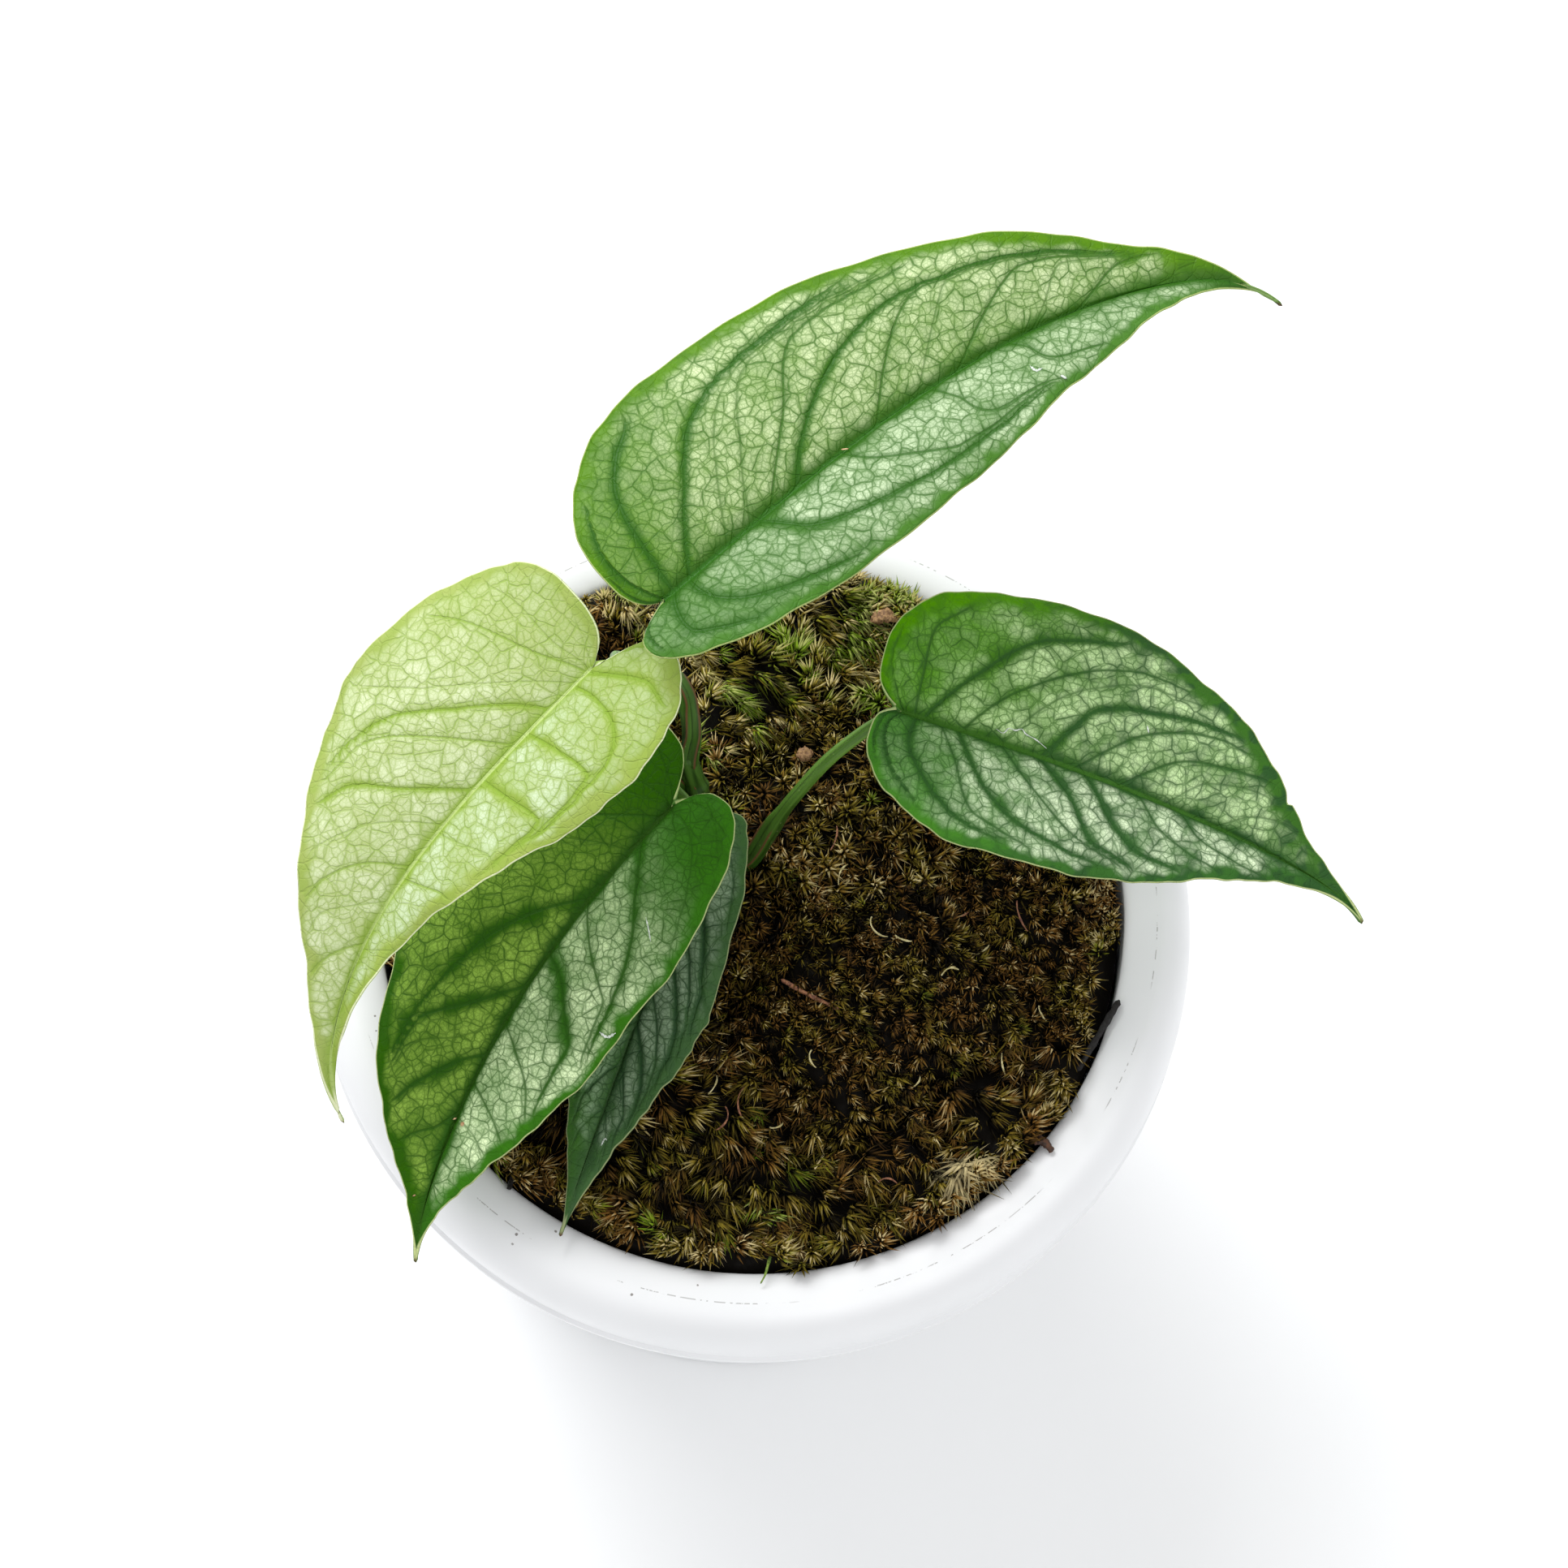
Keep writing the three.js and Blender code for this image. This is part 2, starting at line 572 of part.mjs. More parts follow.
// Both faces of the blade share one way of splitting into triangles, so they never cross
function bladeGeometry(leaf) {
  const grid = bladeGrid(leaf);
  const last = grid.length - 1;
  const width = 2 * BLADE_COLUMNS + 1;
  const top = [];
  const starts = [];
  grid.forEach((row) => {
    starts.push(top.length);
    top.push(...row);
  });
  const faces = [];
  for (let column = 0; column < width - 1; column += 1) {
    faces.push([0, starts[1] + column, starts[1] + column + 1]);
    faces.push([starts[last], starts[last - 1] + column + 1, starts[last - 1] + column]);
    for (let row = 1; row < last - 1; row += 1) {
      const a = starts[row] + column;
      const b = starts[row + 1] + column;
      faces.push([a, b, b + 1], [a, b + 1, a + 1]);
    }
  }
  const normals = top.map(() => new THREE.Vector3());
  for (const [a, b, c] of faces) {
    const normal = top[b].clone().sub(top[a]).cross(top[c].clone().sub(top[a]));
    [a, b, c].forEach((k) => normals[k].add(normal));
  }
  const under = [];
  grid.forEach((row, r) => row.forEach((point, column) => {
    const depth = BLADE_THICKNESS + keelAt(row.length > 1 ? column - BLADE_COLUMNS : 0, r, last);
    const normal = normals[starts[r] + column].normalize();
    under.push(point.clone().addScaledVector(normal, -depth));
  }));
  const rim = [0];
  for (let row = 1; row < last; row += 1) rim.push(starts[row]);
  rim.push(starts[last]);
  for (let row = last - 1; row > 0; row -= 1) rim.push(starts[row] + width - 1);
  const count = top.length;
  const indices = faces.flatMap(([a, b, c]) => [a, b, c, count + a, count + c, count + b]);
  rim.forEach((a, i) => {
    const b = rim[(i + 1) % rim.length];
    indices.push(b, a, count + a, b, count + a, count + b);
  });
  return indexedGeometry([...top, ...under].flatMap((p) => p.toArray()), indices);
}

function sliverGeometry(sliver) {
  return tubeGeometry(sliver.path, (share) => sliver.radius * (1 - SLIVER_TAPER * share), SLIVER_STEPS);
}

function addPart(group, name, geometry, material) {
  const mesh = new THREE.Mesh(geometry, material);
  mesh.name = name;
  group.add(mesh);
}

const plant = new THREE.Group();
const rooted = [toSolid(stemGeometry(CLEARANCE)), toSolid(stalkGeometry(LEAVES.length - 1, CLEARANCE))];
const stemRoom = rooted[0];

addPart(plant, "pot", potGeometry(), PLASTIC);

const mix = rooted.reduce((solid, root) => solid.subtract(root), toSolid(mixGeometry()));
addPart(plant, "potting_mix", toGeometry(mix), MIX);

MOSS_CUSHIONS.forEach((cushion, i) => {
  const solid = rooted.reduce((moss, root) => moss.subtract(root), toSolid(cushionGeometry(cushion)));
  addPart(plant, `moss_cushion_${i + 1}`, toGeometry(solid), MOSS);
});

addPart(plant, "stem", stemGeometry(), STALK);

LEAVES.forEach((leaf, i) => {
  const stalk = toSolid(stalkGeometry(i)).subtract(stemRoom);
  addPart(plant, `leaf_stalk_${i + 1}`, toGeometry(stalk), STALK);
  const material = new THREE.MeshStandardMaterial({ color: BLADE_COLORS[i], roughness: 0.45 });
  addPart(plant, `leaf_blade_${i + 1}`, bladeGeometry(leaf), material);
});

SLIVERS.forEach((sliver) => addPart(plant, sliver.name, sliverGeometry(sliver), BARK));

export default plant;
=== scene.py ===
"""Looks of a potted silver-leaved aroid: pot, bark mix, moss, stem and five marbled leaves.

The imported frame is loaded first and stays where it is. Shapes are worked out in millimetres in the
frame's own axes and turned into metres when a mesh is made.
"""

import logging
import math
from dataclasses import dataclass, field
from enum import Enum
from functools import lru_cache, reduce
from typing import Dict, List, Sequence, Tuple, Union

import bpy
import numpy as np
from mathutils import Matrix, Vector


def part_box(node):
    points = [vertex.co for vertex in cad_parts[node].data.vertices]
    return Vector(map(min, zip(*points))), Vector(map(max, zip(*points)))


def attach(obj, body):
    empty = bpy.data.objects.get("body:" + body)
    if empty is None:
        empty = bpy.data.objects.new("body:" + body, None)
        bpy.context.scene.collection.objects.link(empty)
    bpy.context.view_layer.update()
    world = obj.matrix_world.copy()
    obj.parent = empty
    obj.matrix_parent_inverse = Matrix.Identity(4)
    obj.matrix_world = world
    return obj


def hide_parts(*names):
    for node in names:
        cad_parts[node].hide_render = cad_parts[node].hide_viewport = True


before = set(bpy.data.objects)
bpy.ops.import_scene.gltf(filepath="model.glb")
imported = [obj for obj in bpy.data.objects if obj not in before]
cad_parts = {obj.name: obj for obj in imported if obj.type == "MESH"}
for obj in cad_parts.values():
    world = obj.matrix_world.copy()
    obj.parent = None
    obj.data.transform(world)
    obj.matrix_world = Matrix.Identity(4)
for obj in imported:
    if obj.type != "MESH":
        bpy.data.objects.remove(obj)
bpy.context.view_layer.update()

Array = np.ndarray
Stored = Dict[str, Array]
Point = Tuple[float, float, float]
Span = Tuple[float, float]
Material = bpy.types.Material
Object = bpy.types.Object
Node = bpy.types.Node
Socket = bpy.types.NodeSocket
Tree = bpy.types.NodeTree
Value = Union[float, str, Sequence[float], Socket]

MM = 0.001
GOLDEN_TURN = math.pi * (3 - math.sqrt(5))
PATH_STEPS = 40
ABOVE = (0.0, 0.0, 1.0)
NEARLY_ABOVE = (0.0, 0.05, 1.0)
logging.basicConfig(level=logging.INFO, format="%(message)s")
log = logging.getLogger("plant")


def paint(code: str) -> Tuple[float, float, float, float]:
    """Turns a screen colour into the shader's own values.

    Args:
        code: six hex digits, red then green then blue.

    Returns:
        Red, green, blue and full alpha, in linear light.
    """
    parts = [int(code[i:i + 2], 16) / 255 for i in (0, 2, 4)]
    red, green, blue = [p / 12.92 if p <= 0.04045 else ((p + 0.055) / 1.055) ** 2.4 for p in parts]
    return (red, green, blue, 1.0)


def smoothstep(low: float, high: float, value: Array) -> Array:
    """Gives for each value how far it has risen, smoothly from 0 at low to 1 at high."""
    t = np.clip((value - low) / (high - low), 0, 1)
    return t * t * (3 - 2 * t)


def bell(distance: Array, width: float) -> Array:
    """Gives a smooth bump: 1 at distance 0, falling to nothing past its width."""
    return np.exp(-(distance / width) ** 2)


def unit(vectors: Array) -> Array:
    """Scales vectors in the last axis to length one."""
    return vectors / np.maximum(np.linalg.norm(vectors, axis=-1, keepdims=True), 1e-9)


def turns(count: int) -> Array:
    """Gives evenly spaced angles round a full turn."""
    return np.linspace(0, 2 * np.pi, count, endpoint=False)


def new_object(name: str, data: bpy.types.ID) -> Object:
    """Puts an object in the scene.

    Args:
        name: its name.
        data: its mesh, light or camera.

    Returns:
        The object.
    """
    obj = bpy.data.objects.new(name, data)
    bpy.context.scene.collection.objects.link(obj)
    return obj


class Graph:
    """Lays shader nodes in one tree and joins their sockets."""

    def __init__(self, tree: Tree) -> None:
        """Starts on a material's or group's node tree."""
        self.tree = tree

    def add(self, kind: str, **settings: object) -> Node:
        """Adds one node.

        Args:
            kind: the node's type name.
            settings: properties to set on it.

        Returns:
            The new node.
        """
        node = self.tree.nodes.new(kind)
        for name, value in settings.items():
            setattr(node, name, value)
        return node

    def feed(self, socket: Socket, value: Value) -> None:
        """Links a socket to another, or sets its own value.

        Args:
            socket: the input.
            value: an output socket, a number, a vector or six hex digits of a colour.
        """
        if isinstance(value, Socket):
            self.tree.links.new(value, socket)
        else:
            socket.default_value = paint(value) if isinstance(value, str) else value

    def through(self, kind: str, *values: Value, **settings: object) -> Socket:
        """Adds one node and feeds its inputs.

        Args:
            kind: the node's type name.
            values: its inputs in order.
            settings: properties to set on it.

        Returns:
            Its first output.
        """
        node = self.add(kind, **settings)
        for socket, value in zip(node.inputs, values):
            self.feed(socket, value)
        return node.outputs[0]

    def math(self, operation: str, *values: Value, clamp: bool = False) -> Socket:
        """Gives the result of a Math node, kept within 0 and 1 where it is clamped."""
        return self.through("ShaderNodeMath", *values, operation=operation, use_clamp=clamp)

    def times(self, *values: Value) -> Socket:
        """Multiplies values, one after the other."""
        return reduce(lambda first, second: self.math("MULTIPLY", first, second), values)

    def most(self, *values: Value) -> Socket:
        """Gives the greatest of its values."""
        return reduce(lambda first, second: self.math("MAXIMUM", first, second), values)

    def rest(self, value: Value) -> Socket:
        """Gives what a share leaves of 1."""
        return self.math("SUBTRACT", 1.0, value)

    def vector(self, operation: str, first: Value, second: Value) -> Socket:
        """Adds a Vector Math node.

        Args:
            operation: what it does.
            first: the vector.
            second: another vector, or a number where the operation is SCALE.

        Returns:
            Its output.
        """
        node = self.add("ShaderNodeVectorMath", operation=operation)
        self.feed(node.inputs[0], first)
        self.feed(node.inputs["Scale" if operation == "SCALE" else 1], second)
        return node.outputs[0]

    def rise(self, value: Value, low: Value, high: Value, start: Value = 0.0, end: Value = 1.0) -> Socket:
        """Maps a value smoothly: start up to low, end from high."""
        return self.through("ShaderNodeMapRange", value, low, high, start, end, interpolation_type="SMOOTHSTEP")

    def vary(self, share: Value, start: Value, end: Value) -> Socket:
        """Maps a share from 0 to 1 smoothly to the range from start to end."""
        return self.rise(share, 0.0, 1.0, start, end)

    def blend(self, share: Value, first: Value, second: Value) -> Socket:
        """Mixes two colours.

        Args:
            share: how much of the second shows.
            first: the colour beneath.
            second: the colour above.

        Returns:
            The mixed colour.
        """
        node = self.add("ShaderNodeMix", data_type="RGBA")
        for index, value in ((0, share), (6, first), (7, second)):
            self.feed(node.inputs[index], value)
        return node.outputs[2]

    def stored(self, name: str, kind: str = "Fac") -> Socket:
        """Reads a value that the mesh stores at each vertex, as a number or as a Vector."""
        return self.add("ShaderNodeAttribute", attribute_name=name).outputs[kind]

    def place(self) -> Socket:
        """Gives the object's own coordinates in millimetres."""
        return self.vector("SCALE", self.add("ShaderNodeTexCoord").outputs["Object"], 1 / MM)

    def texture(self, kind: str, place: Value, scale: Value, **settings: object) -> Node:
        """Adds a texture node.

        Args:
            kind: Noise or Voronoi.
            place: where on the surface.
            scale: how many of its patches go in a millimetre.
            settings: properties to set on it.

        Returns:
            The node.
        """
        node = self.add(f"ShaderNodeTex{kind}", **settings)
        self.feed(node.inputs["Vector"], place)
        self.feed(node.inputs["Scale"], scale)
        return node

    def red(self, colour: Socket) -> Socket:
        """Gives a colour's red part."""
        return self.through("ShaderNodeSeparateColor", colour)

    def group(self, tree: Tree, **values: Value) -> Node:
        """Places a node group and feeds its inputs.

        Args:
            tree: the group.
            values: its inputs by name, with _ for each space.

        Returns:
            The group node.
        """
        node = self.add("ShaderNodeGroup", node_tree=tree)
        for name, value in values.items():
            self.feed(node.inputs[name.replace("_", " ")], value)
        return node

    def mottle(self, place: Value, size: float, detail: float) -> Socket:
        """Gives soft uneven patches of a size in millimetres, from 0 to 1."""
        return self.group(mottle_group(), Place=place, Size=size, Detail=detail).outputs[0]

    def specks(self, place: Value, spacing: float, radius: float, share: float) -> Socket:
        """Gives scattered spots as 1: their spacing and radius in millimetres, and how many places have one."""
        return self.group(speck_group(), Place=place, Spacing=spacing, Radius=radius, Share=share).outputs[0]


class Surface(Graph):
    """The graph of a new material, with the material's shader."""

    def __init__(self, name: str) -> None:
        """Starts a material.

        Args:
            name: the material's name.
        """
        self.material = bpy.data.materials.new(name)
        self.material.use_nodes = True
        super().__init__(self.material.node_tree)
        self.shader = self.tree.nodes["Principled BSDF"]

    def show(self, **values: Value) -> None:
        """Feeds the shader's inputs by name, with _ for each space."""
        for name, value in values.items():
            self.feed(self.shader.inputs[name.replace("_", " ")], value)

    def bump(self, height: Value, depth: float) -> None:
        """Feeds a bump to the shader's normal.

        Args:
            height: the height pattern, 0 to 1.
            depth: what a height of 1 stands for, in millimetres.
        """
        node = self.add("ShaderNodeBump")
        for name, value in (("Strength", 1.0), ("Distance", depth * MM), ("Height", height)):
            self.feed(node.inputs[name], value)
        self.show(Normal=node.outputs[0])


def new_group(name: str, place: bool, numbers: Sequence[str], outputs: Sequence[str]
              ) -> Tuple[Tree, Graph, Dict[str, Socket], Node]:
    """Makes an empty shader group with named sockets.

    Args:
        name: the group's name.
        place: whether its first input is a vector called Place.
        numbers: names of its float inputs.
        outputs: names of its float outputs.

    Returns:
        The tree, a graph on it, the input sockets by name and the output node.
    """
    tree = bpy.data.node_groups.new(name, "ShaderNodeTree")
    if place:
        tree.interface.new_socket("Place", in_out="INPUT", socket_type="NodeSocketVector")
    for titles, side in ((numbers, "INPUT"), (outputs, "OUTPUT")):
        for title in titles:
            tree.interface.new_socket(title, in_out=side, socket_type="NodeSocketFloat")
    graph = Graph(tree)
    entry = graph.add("NodeGroupInput")
    return tree, graph, dict(entry.outputs.items()), graph.add("NodeGroupOutput")


@lru_cache(maxsize=None)
def mottle_group() -> Tree:
    """Soft uneven patches: a value from 0 to 1 that wanders over the surface.

    Returns:
        The group.
    """
    tree, graph, given, end = new_group("mottle", True, ["Size", "Detail"], ["Value"])
    noise = graph.texture("Noise", given["Place"], graph.math("DIVIDE", 1.0, given["Size"]))
    graph.feed(noise.inputs["Detail"], given["Detail"])
    graph.feed(end.inputs["Value"], graph.rise(noise.outputs[0], 0.3, 0.7))
    return tree


@lru_cache(maxsize=None)
def speck_group() -> Tree:
    """Small scattered spots: 1 on a spot and 0 around it.

    Returns:
        The group.
    """
    tree, graph, given, end = new_group("specks", True, ["Spacing", "Radius", "Share"], ["Mask"])
    wander = graph.texture("Noise", given["Place"], 1.7)
    cells = graph.texture("Voronoi", given["Place"], graph.math("DIVIDE", 1.0, given["Spacing"]))
    ragged = graph.times(cells.outputs["Distance"], given["Spacing"], graph.math("ADD", wander.outputs[0], 0.5))
    spot = graph.rise(ragged, given["Radius"], graph.times(given["Radius"], 0.6))
    chosen = graph.math("LESS_THAN", graph.red(cells.outputs["Color"]), given["Share"])
    graph.feed(end.inputs["Mask"], graph.times(spot, chosen))
    return tree


@lru_cache(maxsize=None)
def side_vein_group() -> Tree:
    """Side veins of a blade: the thin line along each one.

    Returns:
        The group.
    """
    tree, graph, given, end = new_group("side_veins", False, ["Count", "Pitch", "Strength", "Line width"], ["Line"])
    distance = graph.times(graph.math("PINGPONG", given["Count"], 0.5), given["Pitch"])
    width = graph.times(given["Line width"], graph.math("MULTIPLY_ADD", given["Strength"], 0.6, 0.5))
    line = graph.rise(distance, width, graph.times(width, 0.3))
    graph.feed(end.inputs["Line"], graph.times(line, graph.rise(given["Strength"], 0.0, 0.5)))
    return tree


@lru_cache(maxsize=None)
def vein_net_group() -> Tree:
    """Fine net between the side veins: its lines, the soft rim inside each cell and a value for each cell.

    Returns:
        The group.
    """
    tree, graph, given, end = new_group("vein_net", True, ["Cell", "Line", "Wander"], ["Net", "Rim", "Cell value"])
    noise = graph.texture("Noise", given["Place"], graph.math("DIVIDE", 0.9, given["Cell"]))
    push = graph.vector("SCALE", graph.vector("SUBTRACT", noise.outputs["Color"], (0.5, 0.5, 0.5)), given["Wander"])
    moved = graph.vector("ADD", given["Place"], push)
    scale = graph.math("DIVIDE", 1.0, given["Cell"])
    edges, centres = (graph.texture("Voronoi", moved, scale, feature=feature, voronoi_dimensions="2D")
                      for feature in ("DISTANCE_TO_EDGE", "F1"))
    distance = graph.times(edges.outputs["Distance"], given["Cell"])
    graph.feed(end.inputs["Net"], graph.rise(distance, given["Line"], graph.times(given["Line"], 0.2)))
    graph.feed(end.inputs["Rim"], graph.rise(edges.outputs["Distance"], 0.32, 0.02))
    graph.feed(end.inputs["Cell value"], graph.red(centres.outputs["Color"]))
    return tree


@dataclass(frozen=True)
class LeafFinish:
    """Finish of one blade: the greens of its marbling, its edge and how strongly its veins show.

    Margins and bands are in millimetres. The rest are shares from 0 to 1.
    """

    name: str
    slot: str
    flesh_left: str
    flesh_right: str
    silver_left: str
    silver_right: str
    vein: str
    midrib: str
    edge: str
    under: str
    silver: float
    net: float
    base_green: float
    margins: Span
    panel: float
    band: float = 1.5
    rib_band: float = 1.9
    unevenness: float = 0.35
    vein_dark: float = 0.7
    shine: float = 0.14
    cell_rim: float = 0.7
    fade: float = 0.0
    green_reach: float = 0.16
    band_share: float = 1.0
    scar: str = "D9E0CC"
    dry_tip: str = "5A4230"

    CELL = 2.9
    NETS = ((1.0, 0.2, 1.6), (0.5, 0.15, 0.9), (0.21, 0.1, 0.3))
    VEIN_LINE = 0.34
    ROUGHNESS = (0.37, 0.49)
    RELIEF = 0.11

    def material(self) -> Material:
        """Builds the blade's material.

        Returns:
            The material.
        """
        graph = Surface(self.name)
        place, rib, along = graph.stored("leaf_place", "Vector"), graph.stored("rib_distance"), graph.stored("along")
        side = graph.rise(graph.stored("side"), -0.02, 0.02)
        edge_distance = graph.times(graph.rest(graph.stored("across")), graph.stored("half_width"))
        line = graph.group(side_vein_group(), Count=graph.stored("vein_count"), Pitch=graph.stored("vein_pitch"),
                           Strength=graph.stored("vein_strength"), Line_width=self.VEIN_LINE).outputs[0]
        coarse, middle, fine = (
            graph.group(vein_net_group(), Place=place, Cell=self.CELL * part, Line=wide, Wander=wander)
            for part, wide, wander in self.NETS)
        patches, uneven, grain = (graph.mottle(place, *sizes) for sizes in ((6.0, 2.0), (2.6, 1.0), (0.45, 3.0)))
        main_net = graph.times(coarse.outputs["Net"], graph.vary(uneven, 0.65, 1.0))
        cross_net = graph.times(middle.outputs["Net"], graph.vary(uneven, 0.85, 0.5))
        net = graph.most(main_net, cross_net, graph.times(fine.outputs["Net"], 0.42), line)

        # Silver fades towards the margin, the midrib, the side veins and the net.
        ragged = graph.math("MULTIPLY_ADD", grain, 0.25, -0.12)
        band = graph.times(graph.math("ADD", graph.stored("vein_band"), ragged, clamp=True), self.band_share)
        wobble = graph.math("MULTIPLY_ADD", patches, 1.6, -0.8)
        left_margin, right_margin = self.margins
        margin = graph.math("MULTIPLY_ADD", side, left_margin - right_margin, right_margin)
        inside = graph.rise(graph.math("ADD", edge_distance, wobble), graph.times(margin, 0.4),
                            graph.times(margin, 1.3))
        cell_value = coarse.outputs["Cell value"]
        panel = graph.math("MULTIPLY_ADD", graph.math("SUBTRACT", patches, 0.5), 0.36, graph.stored("vein_panel"))
        panel = graph.math("MULTIPLY_ADD", graph.math("SUBTRACT", cell_value, 0.5), 0.12, panel)
        panel = graph.rise(panel, -0.08, self.panel)
        clear_of_rib = graph.rise(graph.math("ADD", rib, graph.times(wobble, 0.5)), 0.3, self.rib_band * 1.3)
        silver = graph.times(
            inside, clear_of_rib, graph.rest(band), panel, graph.rise(patches, 0.0, 0.8, 1 - self.unevenness, 1.0),
            graph.vary(cell_value, 0.72, 1.0), graph.vary(coarse.outputs["Rim"], 1.0, self.cell_rim),
            graph.vary(middle.outputs["Rim"], 1.0, 0.85), graph.stored("silver"),
            graph.rest(graph.times(net, self.net)), graph.vary(grain, 0.8, 1.0))

        # Flesh darkens towards the tip and beside the veins.
        toward_tip = graph.times(graph.rise(along, 0.05, 0.45), self.fade)
        near_vein = graph.most(graph.times(graph.rest(panel), inside, 0.5), band,
                               graph.times(graph.rest(clear_of_rib), 0.8))
        flesh = graph.blend(side, self.flesh_right, self.flesh_left)
        for share in (graph.math("ADD", toward_tip, graph.rise(uneven, 0.35, 0.8, 0.0, 0.25)),
                      graph.times(near_vein, self.vein_dark), graph.times(net, 0.6, inside)):
            flesh = graph.blend(share, flesh, self.vein)
        pale = graph.blend(side, self.silver_right, self.silver_left)
        colour = graph.blend(graph.times(silver, self.silver), flesh, pale)
        for share, above in ((graph.times(graph.rise(rib, 0.5, 0.2), graph.stored("rib_show")), self.midrib),
                             (graph.times(graph.specks(place, 9.0, 0.32, 0.14), 0.5), self.scar),
                             (graph.rise(edge_distance, 0.24, 0.1), self.edge),
                             (graph.rise(along, 0.985, 0.998), self.dry_tip),
                             (graph.stored("under_side"), graph.blend(graph.times(band, 0.5), self.under, self.vein))):
            colour = graph.blend(share, colour, above)
        graph.show(Base_Color=colour, Roughness=graph.vary(grain, *self.ROUGHNESS), Specular_IOR_Level=self.shine)
        height = graph.times(main_net, -0.7)
        for pattern, weight in ((cross_net, -0.5), (line, -0.8), (grain, 0.12)):
            height = graph.math("MULTIPLY_ADD", pattern, weight, height)
        graph.bump(height, self.RELIEF)
        return graph.material


@dataclass(frozen=True)
class StalkFinish:
    """Finish of the green stalks and stem: streaked along, with a dry reddish edge on the sheath."""

    name: str = "green_stalk"
    slot: str = "green_stem"
    light: str = "48721C"
    dark: str = "22420C"
    bright: str = "6C9A32"
    dry: str = "7A4A33"
    speck: str = "B4C487"

    def material(self) -> Material:
        """Builds the stalk's material.

        Returns:
            The material.
        """
        graph = Surface(self.name)
        streaks = graph.mottle(graph.stored("stalk_place", "Vector"), 1.1, 4.0)
        colour = graph.blend(streaks, self.dark, self.light)
        upper = graph.blend(streaks, self.light, self.bright)
        colour = graph.blend(graph.rise(graph.stored("reach"), 0.3, 0.9), colour, upper)
        colour = graph.blend(graph.times(graph.specks(graph.place(), 1.3, 0.16, 0.5), 0.45), colour, self.speck)
        colour = graph.blend(graph.stored("dry"), colour, self.dry)
        graph.show(Base_Color=colour, Roughness=graph.vary(streaks, 0.38, 0.55))
        graph.bump(streaks, 0.08)
        return graph.material


@dataclass(frozen=True)
class MossFinish:
    """Finish of the moss leaflets: near black at the root (painted shade down in the cushion, partly dark old stems),
    coloured along its length and pale at the tip (partly pale tips of its own, partly a painted highlight).
    """

    name: str = "moss_leaflets"
    slot: str = "moss"
    root: str = "0A0602"
    brown: str = "8A6228"
    olive: str = "8E7C26"
    green: str = "7E9E1C"
    straw: str = "D2C08E"
    tip: str = "EAD8A0"

    def material(self) -> Material:
        """Builds the leaflets' material.

        Returns:
            The material.
        """
        graph = Surface(self.name)
        hue, tone = graph.stored("hue"), graph.stored("tone")
        leaf = self.brown
        for low, high, next_colour in ((0.1, 0.45, self.olive), (0.5, 0.8, self.green), (0.9, 1.0, self.straw)):
            leaf = graph.blend(graph.rise(hue, low, high), leaf, next_colour)
        patches = graph.mottle(graph.place(), 2.2, 2.0)
        # Low tone keeps the near-black root colour: painted shade down in the cushion, partly the darker old stems.
        reach = graph.times(graph.rise(tone, 0.12, 0.7), graph.vary(patches, 0.6, 1.0))
        # High tone turns pale towards the tip colour: partly the leaflets' own pale tips, partly a painted highlight.
        pale_tip_and_highlight = graph.times(graph.rise(tone, 0.62, 1.0, 0.0, 0.75), graph.rise(hue, 0.35, 0.75, 1.0, 0.4))
        colour = graph.blend(pale_tip_and_highlight, graph.blend(reach, self.root, leaf), self.tip)
        graph.show(Base_Color=colour, Roughness=graph.vary(patches, 0.55, 0.75), Specular_IOR_Level=0.12)
        return graph.material


@dataclass(frozen=True)
class EarthFinish:
    """Finish of bark and soil: dark chunks with lighter worn faces."""

    name: str
    slot: str
    dark: str
    light: str
    chunk: float

    def material(self) -> Material:
        """Builds the bark's material.

        Returns:
            The material.
        """
        graph = Surface(self.name)
        place = graph.place()
        patches = graph.mottle(place, self.chunk, 5.0)
        chips = graph.specks(place, self.chunk, self.chunk * 0.25, 0.4)
        colour = graph.blend(graph.times(patches, 0.8), self.dark, self.light)
        colour = graph.blend(graph.times(chips, 0.5), colour, self.light)
        graph.show(Base_Color=colour, Roughness=graph.vary(patches, 0.75, 0.95), Specular_IOR_Level=0.15)
        graph.bump(graph.most(patches, chips), self.chunk * 0.2)
        return graph.material


